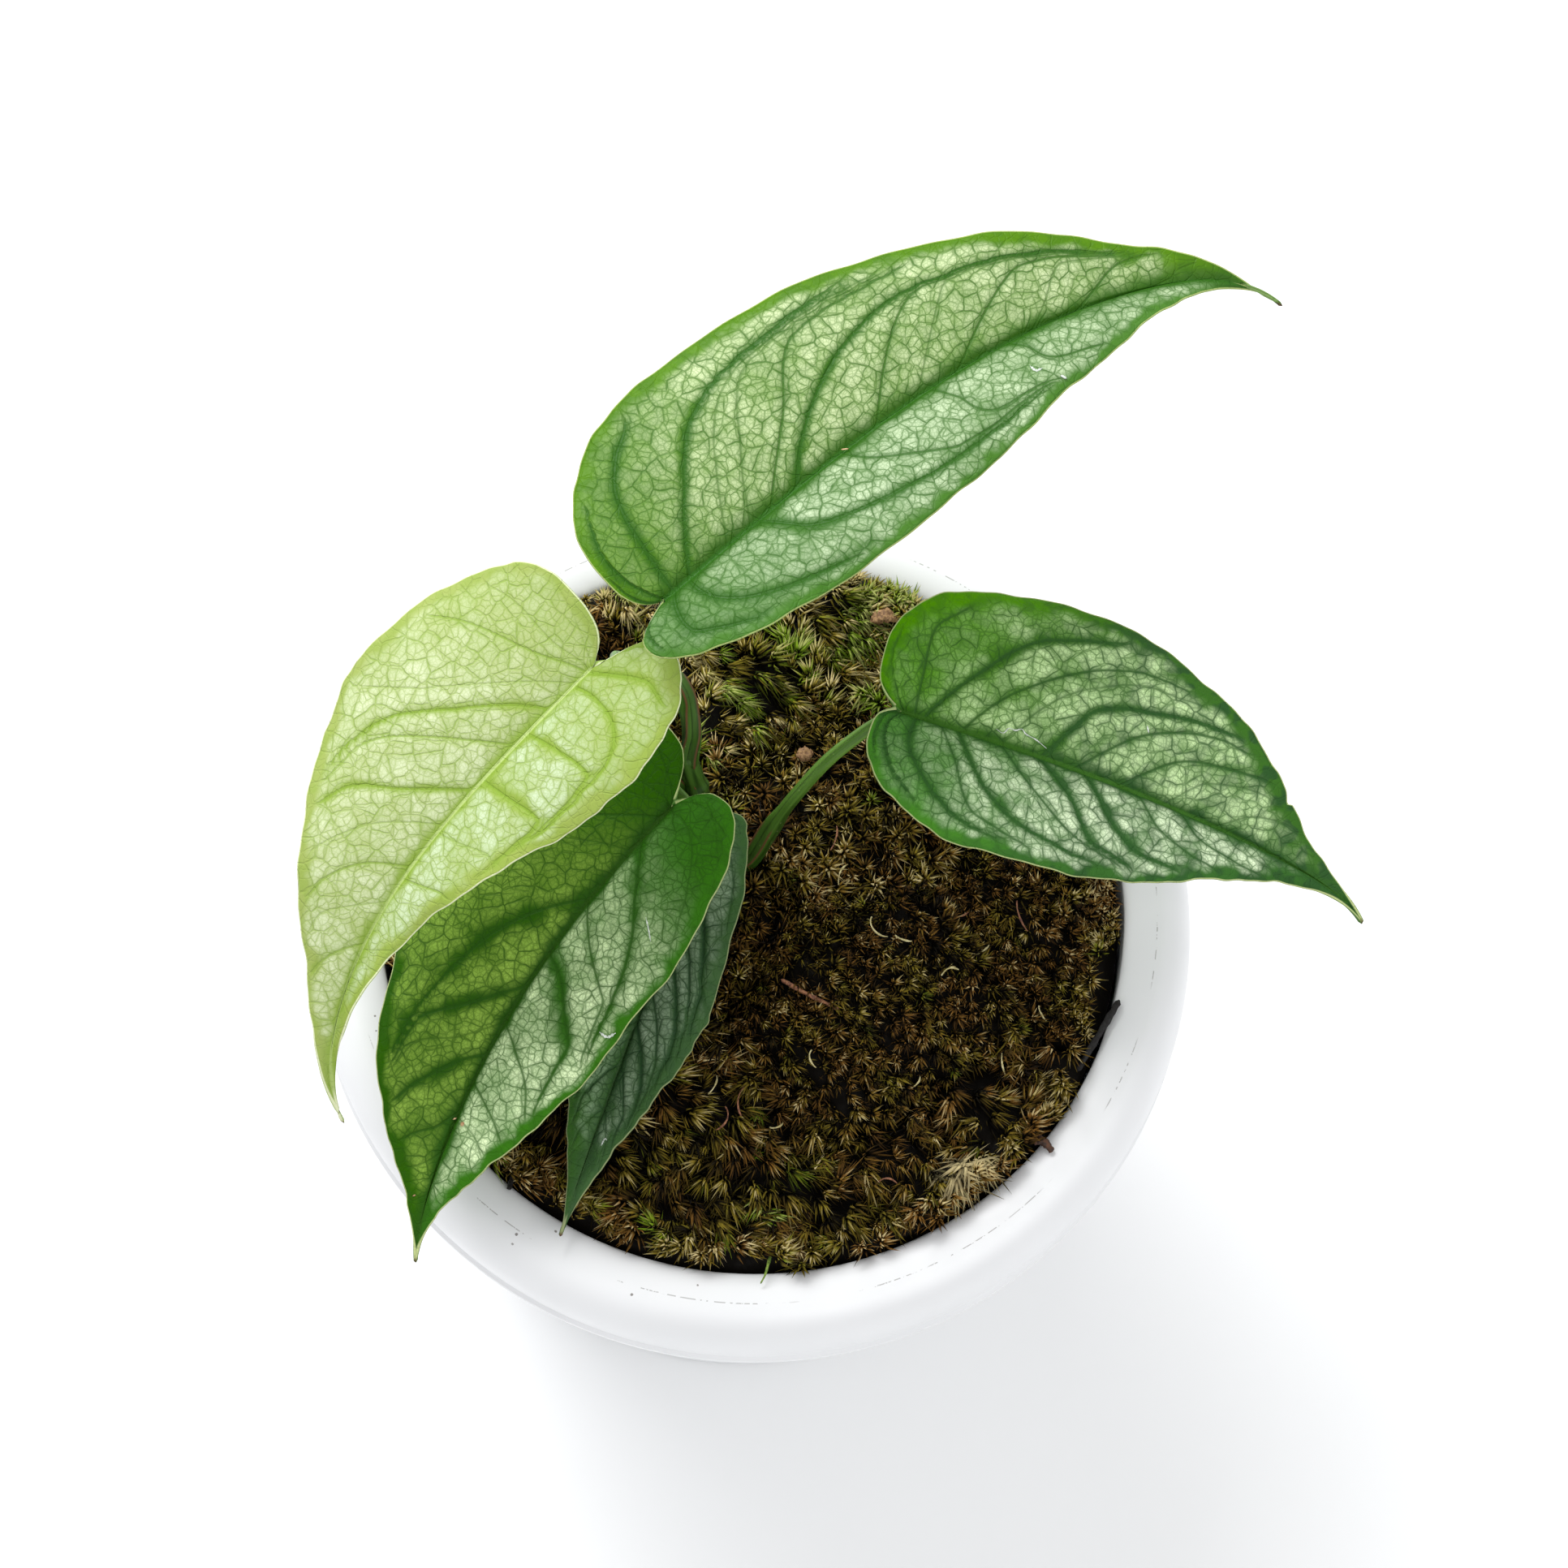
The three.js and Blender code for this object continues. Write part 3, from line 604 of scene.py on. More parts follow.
@dataclass(frozen=True)
class PlasticFinish:
    """Finish of the white pot: soft gloss, faint handling marks and a few specks of soil on the rim."""

    name: str = "white_plastic"
    slot: str = "pot_plastic"
    white: str = "E9EAEC"
    grey: str = "D6D8DA"
    soil: str = "4A3A2C"
    lip_level: float = 117.0
    lip_radius: float = 71.5
    hairline: float = 68.4

    def material(self) -> Material:
        """Builds the plastic's material.

        Returns:
            The material.
        """
        graph = Surface(self.name)
        place = graph.place()
        marks, haze, broken = (graph.mottle(place, size, 2.0) for size in (14.0, 7.0, 0.9))
        parts = graph.add("ShaderNodeSeparateXYZ")
        graph.feed(parts.inputs[0], place)
        x, y, z = parts.outputs
        radius = graph.math("SQRT", graph.math("ADD", graph.math("POWER", x, 2.0), graph.math("POWER", y, 2.0)))
        lip = graph.times(graph.rise(z, self.lip_level - 1.0, self.lip_level),
                          graph.rise(radius, self.lip_radius, self.lip_radius - 1.0))
        dirt = graph.times(graph.specks(place, 3.4, 0.3, 0.3), lip, 0.75)
        from_line = graph.math("ABSOLUTE", graph.math("SUBTRACT", radius, self.hairline))
        line = graph.times(graph.rise(from_line, 0.13, 0.04), lip, graph.rise(marks, 0.35, 0.7),
                           graph.rise(broken, 0.45, 0.6), 0.5)
        colour = graph.blend(graph.times(marks, 0.15), self.white, self.grey)
        colour = graph.blend(line, graph.blend(dirt, colour, self.soil), self.soil)
        graph.show(Base_Color=colour, Roughness=graph.vary(haze, 0.34, 0.38), Subsurface_Weight=0.1,
                   Subsurface_Radius=(1.0, 1.0, 1.0), Subsurface_Scale=1.5 * MM)
        return graph.material


@dataclass(frozen=True)
class PlainFinish:
    """Finish of small dry things: one colour worn towards a second."""

    name: str
    slot: str
    first: str
    second: str
    size: float

    def material(self) -> Material:
        """Builds the material.

        Returns:
            The material.
        """
        graph = Surface(self.name)
        patches = graph.mottle(graph.place(), self.size, 4.0)
        graph.show(Base_Color=graph.blend(patches, self.first, self.second), Roughness=graph.vary(patches, 0.6, 0.85))
        graph.bump(patches, 0.12)
        return graph.material


@dataclass
class Skin:
    """A mesh before Blender has it: points in millimetres, triangles and values stored at the points."""

    points: Array
    faces: Array
    values: Stored = field(default_factory=dict)

    @staticmethod
    def joined(skins: Sequence["Skin"]) -> "Skin":
        """Puts several skins in one.

        Args:
            skins: skins that store the same values.

        Returns:
            One skin.
        """
        starts = np.cumsum([0] + [len(skin.points) for skin in skins])
        points = np.concatenate([skin.points for skin in skins])
        faces = np.concatenate([skin.faces + start for skin, start in zip(skins, starts)])
        values = {name: np.concatenate([skin.values[name] for skin in skins]) for name in skins[0].values}
        return Skin(points, faces, values)


@dataclass
class Workshop:
    """Turns skins into Blender pieces on the frame and keeps count of them."""

    materials: Dict[str, Material] = field(default_factory=dict)
    triangles: int = 0

    def material(self, finish: object) -> Material:
        """Gives a finish's material, built once.

        Args:
            finish: a finish with a name and a material method.

        Returns:
            The material.
        """
        if finish.name not in self.materials:
            self.materials[finish.name] = finish.material()
        return self.materials[finish.name]

    def mesh(self, name: str, skin: Skin) -> bpy.types.Mesh:
        """Makes a smooth mesh from a skin.

        Args:
            name: the mesh's name.
            skin: its points, faces and values.

        Returns:
            The mesh.
        """
        mesh = bpy.data.meshes.new(name)
        mesh.vertices.add(len(skin.points))
        mesh.vertices.foreach_set("co", (skin.points * MM).astype(np.float32).ravel())
        mesh.loops.add(skin.faces.size)
        mesh.loops.foreach_set("vertex_index", skin.faces.astype(np.int32).ravel())
        mesh.polygons.add(len(skin.faces))
        mesh.polygons.foreach_set("loop_start", np.arange(0, skin.faces.size, 3, dtype=np.int32))
        mesh.polygons.foreach_set("use_smooth", np.ones(len(skin.faces), dtype=bool))
        for title, numbers in skin.values.items():
            kind, part = ("FLOAT_VECTOR", "vector") if numbers.ndim == 2 else ("FLOAT", "value")
            stored = mesh.attributes.new(title, kind, "POINT")
            stored.data.foreach_set(part, numbers.astype(np.float32).ravel())
        mesh.update(calc_edges=True)
        return mesh

    def piece(self, name: str, skin: Skin, finish: object, *nodes: str) -> Object:
        """Makes a piece that rides on the frame.

        Args:
            name: the piece's name.
            skin: its shape.
            finish: its finish.
            nodes: the frame nodes that it stands for.

        Returns:
            The object.
        """
        obj = new_object(name, self.mesh(name, skin))
        obj.data.materials.append(self.material(finish))
        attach(obj, "root")
        if nodes:
            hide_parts(*nodes)
        self.triangles += len(skin.faces)
        log.info("%s: %d triangles, for %s", name, len(skin.faces), ", ".join(nodes) or "no node")
        return obj


def grid_faces(rows: int, columns: int, closed: bool = False) -> Array:
    """Splits a grid of points into triangles.

    Args:
        rows: points along.
        columns: points across.
        closed: whether the last column joins the first.

    Returns:
        The triangles.
    """
    last = columns if closed else columns - 1
    row, column = np.meshgrid(np.arange(rows - 1), np.arange(last), indexing="ij")
    a = (row * columns + column).ravel()
    b = (row * columns + (column + 1) % columns).ravel()
    c, d = a + columns, b + columns
    return np.concatenate([np.stack([a, c, d], 1), np.stack([a, d, b], 1)])


def ring_faces(rows: int, sides: int, outward: bool = False) -> Array:
    """Skins a stack of closed rings and closes both ends, each to a point numbered after the last ring.

    Args:
        rows: how many rings there are.
        sides: how many points a ring has.
        outward: whether the rings widen from the middle, seen from outside, instead of following a path.

    Returns:
        The triangles.
    """
    grid = grid_faces(rows, sides, closed=True)
    turn = np.arange(sides)
    ahead = (turn + 1) % sides
    if outward:
        turn, ahead = ahead, turn
    hub, last = rows * sides, (rows - 1) * sides
    start = np.stack([np.full(sides, hub), ahead, turn], 1)
    end = np.stack([np.full(sides, hub + 1), last + turn, last + ahead], 1)
    return np.concatenate([grid if outward else grid[:, ::-1], start, end])


def smooth_path(points: Sequence[Sequence[float]], count: int) -> Array:
    """Runs a centripetal curve through points, evenly spaced along its length.

    Args:
        points: the points in millimetres.
        count: how many points to return.

    Returns:
        The curve's points.
    """
    given = np.array(points, float)
    given = np.vstack([2 * given[0] - given[1], given, 2 * given[-1] - given[-2]])
    dense = []
    t = np.linspace(0, 1, PATH_STEPS)[:, None]
    for p0, p1, p2, p3 in zip(given, given[1:], given[2:], given[3:]):
        d0, d1, d2 = [math.sqrt(np.linalg.norm(b - a)) for a, b in ((p0, p1), (p1, p2), (p2, p3))]
        m1 = ((p1 - p0) / d0 - (p2 - p0) / (d0 + d1) + (p2 - p1) / d1) * d1
        m2 = ((p2 - p1) / d1 - (p3 - p1) / (d1 + d2) + (p3 - p2) / d2) * d1
        cubic = 2 * p1 - 2 * p2 + m1 + m2
        square = -3 * p1 + 3 * p2 - 2 * m1 - m2
        dense.append(cubic * t ** 3 + square * t ** 2 + m1 * t + p1)
    line = np.concatenate(dense)
    reach = np.concatenate([[0], np.cumsum(np.linalg.norm(np.diff(line, axis=0), axis=1))])
    even = np.linspace(0, reach[-1], count)
    return np.stack([np.interp(even, reach, line[:, k]) for k in range(3)], 1)


def path_frames(path: Array, toward: Sequence[float]) -> Tuple[Array, Array, Array]:
    """Gives each point of a path its forward, top and side directions.

    Args:
        path: the points.
        toward: the direction that the top leans to.

    Returns:
        Forward, top and side.
    """
    forward = unit(np.gradient(path, axis=0))
    top = unit(np.array(toward, float) - (forward @ np.array(toward, float))[:, None] * forward)
    return forward, top, np.cross(forward, top)


def tube(path: Array, toward: Sequence[float], radius: Array) -> Skin:
    """Sweeps a section of changing radius along a path, with closed ends.

    Args:
        path: the centre line.
        toward: where the section's top leans.
        radius: the radius for each point and each angle.

    Returns:
        The closed skin, which stores nothing.
    """
    rows, sides = radius.shape
    _, top, side = path_frames(path, toward)
    angle = turns(sides)
    ring = top[:, None] * np.cos(angle)[None, :, None] + side[:, None] * np.sin(angle)[None, :, None]
    points = (path[:, None] + ring * radius[:, :, None]).reshape(-1, 3)
    return Skin(np.vstack([points, path[0], path[-1]]), ring_faces(rows, sides))


def stalk_values(section: Array, around: Array, along: Array, part: float, dry: Array, reach: Array
                 ) -> Stored:
    """Lays out what the green stalk's finish reads, for each ring and then for the two ends.

    Args:
        section: the stalk's radius for each point and each angle.
        around: the finish's place round the stalk.
        along: its place along the stalk.
        part: a number that sets this stalk's streaks apart.
        dry: how dry and reddish each place is.
        reach: how far up the stalk each place is.

    Returns:
        The values to store.
    """
    place = np.stack([np.broadcast_to(grid, section.shape) for grid in (around, along, part)], -1).reshape(-1, 3)
    dry, reach = (np.broadcast_to(grid, section.shape).ravel() for grid in (dry, reach))
    return {"stalk_place": np.vstack([place, place[:1], place[-1:]]), "dry": np.append(dry, [0, 0]),
            "reach": np.append(reach, [0, reach[-1]])}


@dataclass(frozen=True)
class Mark:
    """A healed scratch or dry spot on a blade, placed by row and by how far out to the margin it lies."""

    places: Tuple[Span, ...]
    width: float
    dry: bool = False


@dataclass(frozen=True)
class Half:
    """One half of a blade, in millimetres and degrees.

    Each side vein has a strength and the rows that it meets at the midrib, a third of the way out, two
    thirds of the way out and near the margin. A nick in the margin has a row and a depth.
    """

    width: float
    lobe: float
    share: float
    widest: float
    fold: float
    veins: Tuple[Tuple[float, float, float, float, float], ...] = ()

    nick: Span = (0.0, 0.0)

    VEIN_STOPS = (0.0, 0.35, 0.7, 0.85)
    VEIN_GAP = 0.14
    PAST_STOPS = 1.3

    def vein_rows(self, out: float) -> Array:
        """Gives the row of each vein at one distance from the midrib.

        Args:
            out: how far out to the margin.

        Returns:
            Rising row numbers.
        """
        stops = np.array(self.VEIN_STOPS)
        given = np.array([vein[1:] for vein in self.veins])
        rise = np.diff(given, axis=1) / np.diff(stops)
        before, after = rise[:, :-1], rise[:, 1:]
        inner = np.where(before * after > 0, 2 * before * after / np.where(before + after == 0, 1, before + after), 0)
        slope = np.hstack([rise[:, :1] * 1.5 - inner[:, :1] * 0.5, inner, rise[:, -1:]])
        part = min(int(np.searchsorted(stops, out, side="right")) - 1, len(stops) - 2)
        span = stops[part + 1] - stops[part]
        t = min((out - stops[part]) / span, self.PAST_STOPS)
        rows = ((1 + 2 * t) * (1 - t) ** 2 * given[:, part] + t * (1 - t) ** 2 * span * slope[:, part]
                + t * t * (3 - 2 * t) * given[:, part + 1] + t * t * (t - 1) * span * slope[:, part + 1])
        for i in range(1, len(rows)):
            rows[i] = max(rows[i], rows[i - 1] + self.VEIN_GAP)
        return rows


Sheet = Tuple[Array, Stored]


@dataclass
class LeafBlade:
    """A lobed blade that arches over from its midrib, with side veins that sweep towards the margin.

    Rows of the blade run from the midrib to the margin, numbered as in the frame's own outline: the
    inner edge of the lobe, out to the widest place, then in to the tip.
    """

    number: int
    finish: LeafFinish
    base: Point
    heading: float
    sweep: float
    sweep_power: float
    hook: float
    pitch: float
    droop: float
    roll: float
    length: float
    shoulder: float
    taper: float
    tip_width: float
    waves: float
    left: Half
    right: Half
    groove: float = 0.3
    quilting: float = 0.3
    marks: Tuple[Mark, ...] = ()

    SINUS_ROWS = 3.0
    LOBE_ROWS = 6.0
    TAPER_ROWS = 12.0
    SINUS_STEP = 0.3
    SINUS_ANGLE = 20.0
    ROW_POWER = 1.6
    HOOK_START = 0.82
    CROSS_BEND = 38.0
    MARGIN_WAVE = 0.7
    KEEL_DEPTH = 0.9
    THICKNESS = 0.5
    EDGE_THICKNESS = 0.24
    COLUMNS = 36
    UNDER_COLUMNS = 9
    COLUMN_POWER = 1.15
    SPINE_STEPS = 400
    RIPPLE = 0.17
    NICK_ROWS = 0.16
    GROOVE_WIDTH = 0.75
    KEEL_WIDTH = 1.1
    VEIN_FADE = (0.84, 0.95)
    LONGEST_PITCH = 25
    WIDEST_HALF = 60
    BARE_TIP = (0.82, 0.95)
    MARK_LOOKS = ((False, "scars", "A9B8A6", "E4EAE4"), (True, "dry_spots", "A87A50", "DDBE94"))
    MARK_SIDES = 10
    MARK_HEIGHT = 0.09

    def rows(self) -> Array:
        """Lists the fine rows, from the base to the tip.

        Returns:
            Row numbers.
        """
        inner = np.linspace(0, self.SINUS_ROWS, 12, endpoint=False)
        lobe = self.SINUS_ROWS + np.linspace(0, self.LOBE_ROWS, 50, endpoint=False)
        taper = self.SINUS_ROWS + self.LOBE_ROWS + np.linspace(0, self.TAPER_ROWS, 128)
        return np.concatenate([inner, lobe, taper])

    def outline(self, half: Half, rows: Array) -> Array:
        """Gives the margin of one half.

        Args:
            half: which half.
            rows: row numbers.

        Returns:
            Distances along and across the midrib for each row.
        """
        angle = math.radians(self.SINUS_ANGLE)
        rear = (-half.lobe, half.share * half.width)
        reach = 0.5 * math.hypot(*rear)
        widest = (half.widest * self.length, half.width)
        taper = self.length - widest[0]
        sinus = ((0, 0), (-reach * math.cos(angle), reach * math.sin(angle)), (rear[0], rear[1] * 0.5), rear)
        lobe = (rear, (rear[0], rear[1] + 0.58 * (half.width - rear[1])),
                (widest[0] - 0.55 * (widest[0] - rear[0]), half.width), widest)
        tip = (widest, (widest[0] + self.shoulder * taper, half.width),
               (self.length - self.taper * taper, self.tip_width * half.width), (self.length, 0))
        result = np.zeros((len(rows), 2))
        start = 0.0
        for curve, span in ((sinus, self.SINUS_ROWS), (lobe, self.LOBE_ROWS), (tip, self.TAPER_ROWS)):
            here = rows >= start
            t = np.clip((rows[here] - start) / span, 0, 1)[:, None]
            a, b, c, d = (np.array(point, float) for point in curve)
            result[here] = (1 - t) ** 3 * a + 3 * (1 - t) ** 2 * t * b + 3 * (1 - t) * t ** 2 * c + t ** 3 * d
            start += span
        return result

    def stations(self, rows: Array) -> Array:
        """Gives where each row leaves the midrib.

        Args:
            rows: row numbers.

        Returns:
            Distances along the midrib.
        """
        first = self.SINUS_STEP * self.SINUS_ROWS
        span = self.LOBE_ROWS + self.TAPER_ROWS
        later = np.clip((rows - self.SINUS_ROWS) / span, 0, 1) ** self.ROW_POWER
        return np.where(rows <= self.SINUS_ROWS, self.SINUS_STEP * rows, first + (self.length - first) * later)

    def direction(self, share: Array) -> Array:
        """Gives the midrib's direction.

        Args:
            share: how far along the midrib, 0 to 1.

        Returns:
            Unit vectors.
        """
        tip = np.maximum(0, (share - self.HOOK_START) / (1 - self.HOOK_START))
        heading = np.radians(self.heading + self.sweep * share ** self.sweep_power + self.hook * tip ** 2)
        slope = np.radians(self.pitch + self.droop * share ** 2)
        return np.stack([np.cos(slope) * np.cos(heading), np.cos(slope) * np.sin(heading), np.sin(slope)], -1)

    def spine(self, along: Array) -> Array:
        """Gives points of the midrib's line.

        Args:
            along: distances from the base, below zero behind it.

        Returns:
            Points in millimetres.
        """
        step = self.length / self.SPINE_STEPS
        middle = (np.arange(self.SPINE_STEPS) + 0.5) / self.SPINE_STEPS
        path = np.vstack([np.zeros(3), np.cumsum(self.direction(middle) * step, axis=0)]) + np.array(self.base)
        at = np.arange(self.SPINE_STEPS + 1) * step
        ahead = np.stack([np.interp(along, at, path[:, k]) for k in range(3)], -1)
        return ahead + np.minimum(along, 0)[..., None] * self.direction(np.zeros(1))[0]

    def posture(self, tangent: Array) -> Tuple[Array, Array]:
        """Gives the blade's left and upper directions, with its roll.

        Args:
            tangent: the midrib's direction.

        Returns:
            Unit vectors to the left and up from the upper face.
        """
        level = unit(np.cross(np.array(ABOVE), tangent))
        upright = np.cross(tangent, level)
        roll = math.radians(self.roll)
        return level * math.cos(roll) + upright * math.sin(roll), upright * math.cos(roll) - level * math.sin(roll)

    def surface(self, along: Array, across: Array, share: Array) -> Array:
        """Places the flat leaf's points in space.

        Args:
            along: distance along the midrib.
            across: distance to its left, below zero to its right.
            share: how far out to the margin, 0 to 1.

        Returns:
            Points in millimetres.
        """
        side, normal = self.posture(self.direction(np.maximum(0, along) / self.length))
        width = np.where(across >= 0, self.left.width, self.right.width)
        fold = np.radians(np.where(across >= 0, self.left.fold, self.right.fold))
        curl = math.radians(self.CROSS_BEND) / width
        angle = fold - curl * np.abs(across)
        out = (np.sin(fold) - np.sin(angle)) / curl * np.sign(across)
        wave = self.MARGIN_WAVE * share ** 3 * np.sin(2 * np.pi * self.waves * along / self.length + width)
        up = (np.cos(angle) - np.cos(fold)) / curl + wave
        return self.spine(along) + side * out[..., None] + normal * up[..., None]

    def side_veins(self, rows: Array, share: Array, points: Array) -> Stored:
        """Works out the side veins: whole numbers of the count lie on a vein.

        Args:
            rows: row number at each grid point.
            share: how far out to the margin, below zero on the right half.
            points: the grid's points.

        Returns:
            The count, the distance between veins, each vein's strength, the soft band beside the veins and
            how far into the panel between two veins each point lies.
        """
        count, low, high = (np.zeros_like(rows) for _ in range(3))
        for column in range(rows.shape[1]):
            half = self.right if share[0, column] < 0 else self.left
            out = abs(share[0, column])
            starts = half.vein_rows(out)
            strength = np.array([0.0] + [vein[0] for vein in half.veins] + [0.0])
            here = rows[:, column]
            number = np.interp(here, starts, np.arange(len(starts)))
            number += np.minimum(0, here - starts[0]) * 0.4 + np.maximum(0, here - starts[-1]) * 0.4
            below = np.clip(np.floor(number), -1, len(starts)).astype(int)
            count[:, column] = number
            low[:, column] = strength[np.clip(below + 1, 0, len(strength) - 1)]
            high[:, column] = strength[np.clip(below + 2, 0, len(strength) - 1)]
        pitch = np.minimum(1 / np.maximum(self.steepness(count, points), 1e-3), self.LONGEST_PITCH)
        part = count - np.floor(count)
        fade = 1 - smoothstep(*self.VEIN_FADE, np.abs(share))
        dips = np.maximum(low * np.maximum(0, 1 - 2 * part), high * np.maximum(0, 2 * part - 1))
        bands = [side * smoothstep(1, 0, distance * pitch / (self.finish.band * (0.25 + 0.75 * side) + 1e-6))
                 for side, distance in ((low, part), (high, 1 - part))]
        return {"vein_count": count, "vein_pitch": pitch, "vein_strength": np.where(part < 0.5, low, high) * fade,
                "vein_band": np.maximum(*bands) * fade, "vein_panel": 1 - dips * fade}

    @staticmethod
    def steepness(values: Array, points: Array) -> Array:
        """Finds how fast a value changes over a grid in space.

        Args:
            values: one value for each grid point.
            points: the grid's points.

        Returns:
            Change for each millimetre, at each grid point.
        """
        down, over = np.gradient(values)
        along = np.gradient(points, axis=0)
        across = np.gradient(points, axis=1)
        e = (along * along).sum(-1)
        f = (along * across).sum(-1)
        g = (across * across).sum(-1)
        area = np.maximum(e * g - f * f, 1e-9)
        return np.sqrt(np.maximum(g * down ** 2 - 2 * f * down * over + e * over ** 2, 0) / area)

    def unroll(self, row: Array, share: Array) -> Tuple[Array, Array]:
        """Finds places on the flat leaf, with the small unevenness of its margin.

        Args:
            row: row numbers.
            share: how far out to the margin, below zero on the right half.

        Returns:
            Distances along and across the midrib.
        """
        at, share, shape = row.ravel(), share.ravel(), row.shape
        station = self.stations(at)
        left, right = self.outline(self.left, at), self.outline(self.right, at)
        for edge, half in ((left, self.left), (right, self.right)):
            ripple = np.sin(2.3 * at + half.width) + 0.7 * np.sin(4.3 * at + 2 * half.width) + 0.4 * np.sin(8.1 * at)
            nick = half.nick[1] * bell(at - half.nick[0], self.NICK_ROWS)
            edge[:, 1] += (self.RIPPLE * ripple - nick) * smoothstep(0.5, 5.0, edge[:, 1])
        edge = np.where(share[:, None] >= 0, left, right)
        along = station + (edge[:, 0] - station) * np.abs(share)
        return along.reshape(shape), (edge[:, 1] * share).reshape(shape)

    def mark(self, mark: Mark) -> Skin:
        """Builds one small mark that lies flat on the blade.

        Args:
            mark: the mark.

        Returns:
            Its skin.
        """
        row, share = (np.array(part, float) for part in zip(*mark.places))
        along, across = self.unroll(row, share)
        path = self.surface(along, across, np.abs(share)) + np.array([0, 0, self.quilting + 0.02])
        path = smooth_path(path, 6 * len(path))
        turn = turns(self.MARK_SIDES)[None]
        step = np.linspace(0, 1, len(path))[:, None]
        width = mark.width * (0.7 + 0.3 * np.sin(31 * step + 2)) * np.clip(np.minimum(step, 1 - step) * 5, 0.3, 1)
        return tube(path, NEARLY_ABOVE, np.hypot(self.MARK_HEIGHT * np.cos(turn), 0.5 * width * np.sin(turn)))

    def skin(self) -> Skin:
        """Builds the closed blade with its keel beneath.

        Returns:
            The skin with the values that the finish reads.
        """
        rows = self.rows()
        line = np.linspace(-1, 1, 2 * self.COLUMNS + 1)
        signed = np.sign(line) * np.abs(line) ** self.COLUMN_POWER
        row, share = np.meshgrid(rows, signed, indexing="ij")
        along, across = self.unroll(row, share)
        out = np.abs(share)
        flat = self.surface(along, across, out)
        veins = self.side_veins(row, share, flat)
        progress = np.clip(along / self.length, 0, 1)
        swell = self.quilting * (1 - veins["vein_band"]) * smoothstep(0, 0.12, out) * (1 - smoothstep(0.8, 1, out))
        rib = np.hypot(across, np.minimum(along, 0))
        dip = self.groove * bell(rib, self.GROOVE_WIDTH) * (1 - 0.8 * progress)
        normal = unit(np.cross(np.gradient(flat, axis=0), np.gradient(flat, axis=1)))
        top = flat + normal * (swell - dip)[..., None]
        depth = self.EDGE_THICKNESS + (self.THICKNESS - self.EDGE_THICKNESS) * (1 - out ** 3)
        keel = self.KEEL_DEPTH * bell(rib, self.KEEL_WIDTH) * (1 - row / rows[-1])
        under = flat + normal * (swell * 0.6 - depth - keel)[..., None]
        half_width = np.minimum(1 / np.maximum(self.steepness(share, flat), 1e-3), self.WIDEST_HALF)
        place = np.stack([along, across, np.full_like(along, self.number * 37.0)], -1)
        silver = self.silver_share(along / self.length, out)
        values = {
            "leaf_place": place, "across": out, "half_width": half_width, "rib_distance": rib, "side": share,
            "along": progress, "rib_show": 1 - 0.5 * progress, "silver": silver, **veins,
        }
        kept = np.linspace(0, 2 * self.COLUMNS, 2 * self.UNDER_COLUMNS + 1).astype(int)
        return self.closed((top, values), (under[:, kept], {name: grid[:, kept] for name, grid in values.items()}))

    def silver_share(self, along: Array, out: Array) -> Array:
        """Tells how silvery the blade is, from the shares along and out: less in the lobes and at the tip."""
        lobes = 1 - self.finish.base_green * (1 - smoothstep(-0.03, self.finish.green_reach, along - 0.1 * out))
        return lobes * (1 - 0.9 * smoothstep(*self.BARE_TIP, along))

    @staticmethod
    def sheet(grid: Array, values: Stored, under: float) -> Tuple[Skin, Array]:
        """Makes one face of a blade. Its first and last rows are single points.

        Args:
            grid: the face's points.
            values: grids of stored values.
            under: 1 for the underside and 0 for the upper face.

        Returns:
            The open skin and the numbers of the points round its rim.
        """
        rows, columns = grid.shape[:2]
        middle = columns // 2

        def packed(numbers: Array) -> Array:
            """Lays a grid out in order, with one point for each end row."""
            body = numbers[1:-1].reshape((-1,) + numbers.shape[2:])
            return np.concatenate([numbers[:1, middle], body, numbers[-1:, middle]])

        inner = rows - 2
        turn = np.arange(columns - 1)
        final = 1 + inner * columns
        first = np.stack([np.zeros_like(turn), 1 + turn, 2 + turn], 1)
        last = np.stack([np.full_like(turn, final), final - columns + turn + 1, final - columns + turn], 1)
        faces = np.concatenate([grid_faces(inner, columns) + 1, first, last])
        right = 1 + np.arange(inner) * columns
        rim = np.concatenate([[0], right, [final], right[::-1] + columns - 1])
        stored = {name: packed(numbers) for name, numbers in values.items()}
        stored["under_side"] = np.full(final + 1, under)
        return Skin(packed(grid), faces, stored), rim

    def closed(self, upper: Sheet, lower: Sheet) -> Skin:
        """Joins the two faces of a blade round its margin.

        Args:
            upper: points and values of the upper face.
            lower: the same for the underside, with as many rows.

        Returns:
            The closed skin.
        """
        top, rim = self.sheet(*upper, 0.0)
        under, low = self.sheet(*lower, 1.0)
        under = Skin(under.points, under.faces[:, ::-1], under.values)
        low = low + len(top.points)
        skin = Skin.joined([top, under])
        ahead, low_ahead = np.roll(rim, -1), np.roll(low, -1)
        band = np.concatenate([np.stack([ahead, rim, low], 1), np.stack([ahead, low, low_ahead], 1)])
        return Skin(skin.points, np.concatenate([skin.faces, band]), skin.values)

    def build(self, shop: Workshop) -> None:
        """Makes the blade's piece.

        Args:
            shop: where pieces are made.
        """
        shop.piece(f"blade_{self.number}", self.skin(), self.finish, f"leaf_blade_{self.number}")
        for dry, word, first, second in self.MARK_LOOKS:
            skins = [self.mark(mark) for mark in self.marks if mark.dry is dry]
            if skins:
                finish = PlainFinish(f"{word}_{self.number}", self.finish.slot, first, second, 0.5)
                shop.piece(f"{word}_{self.number}", Skin.joined(skins), finish)


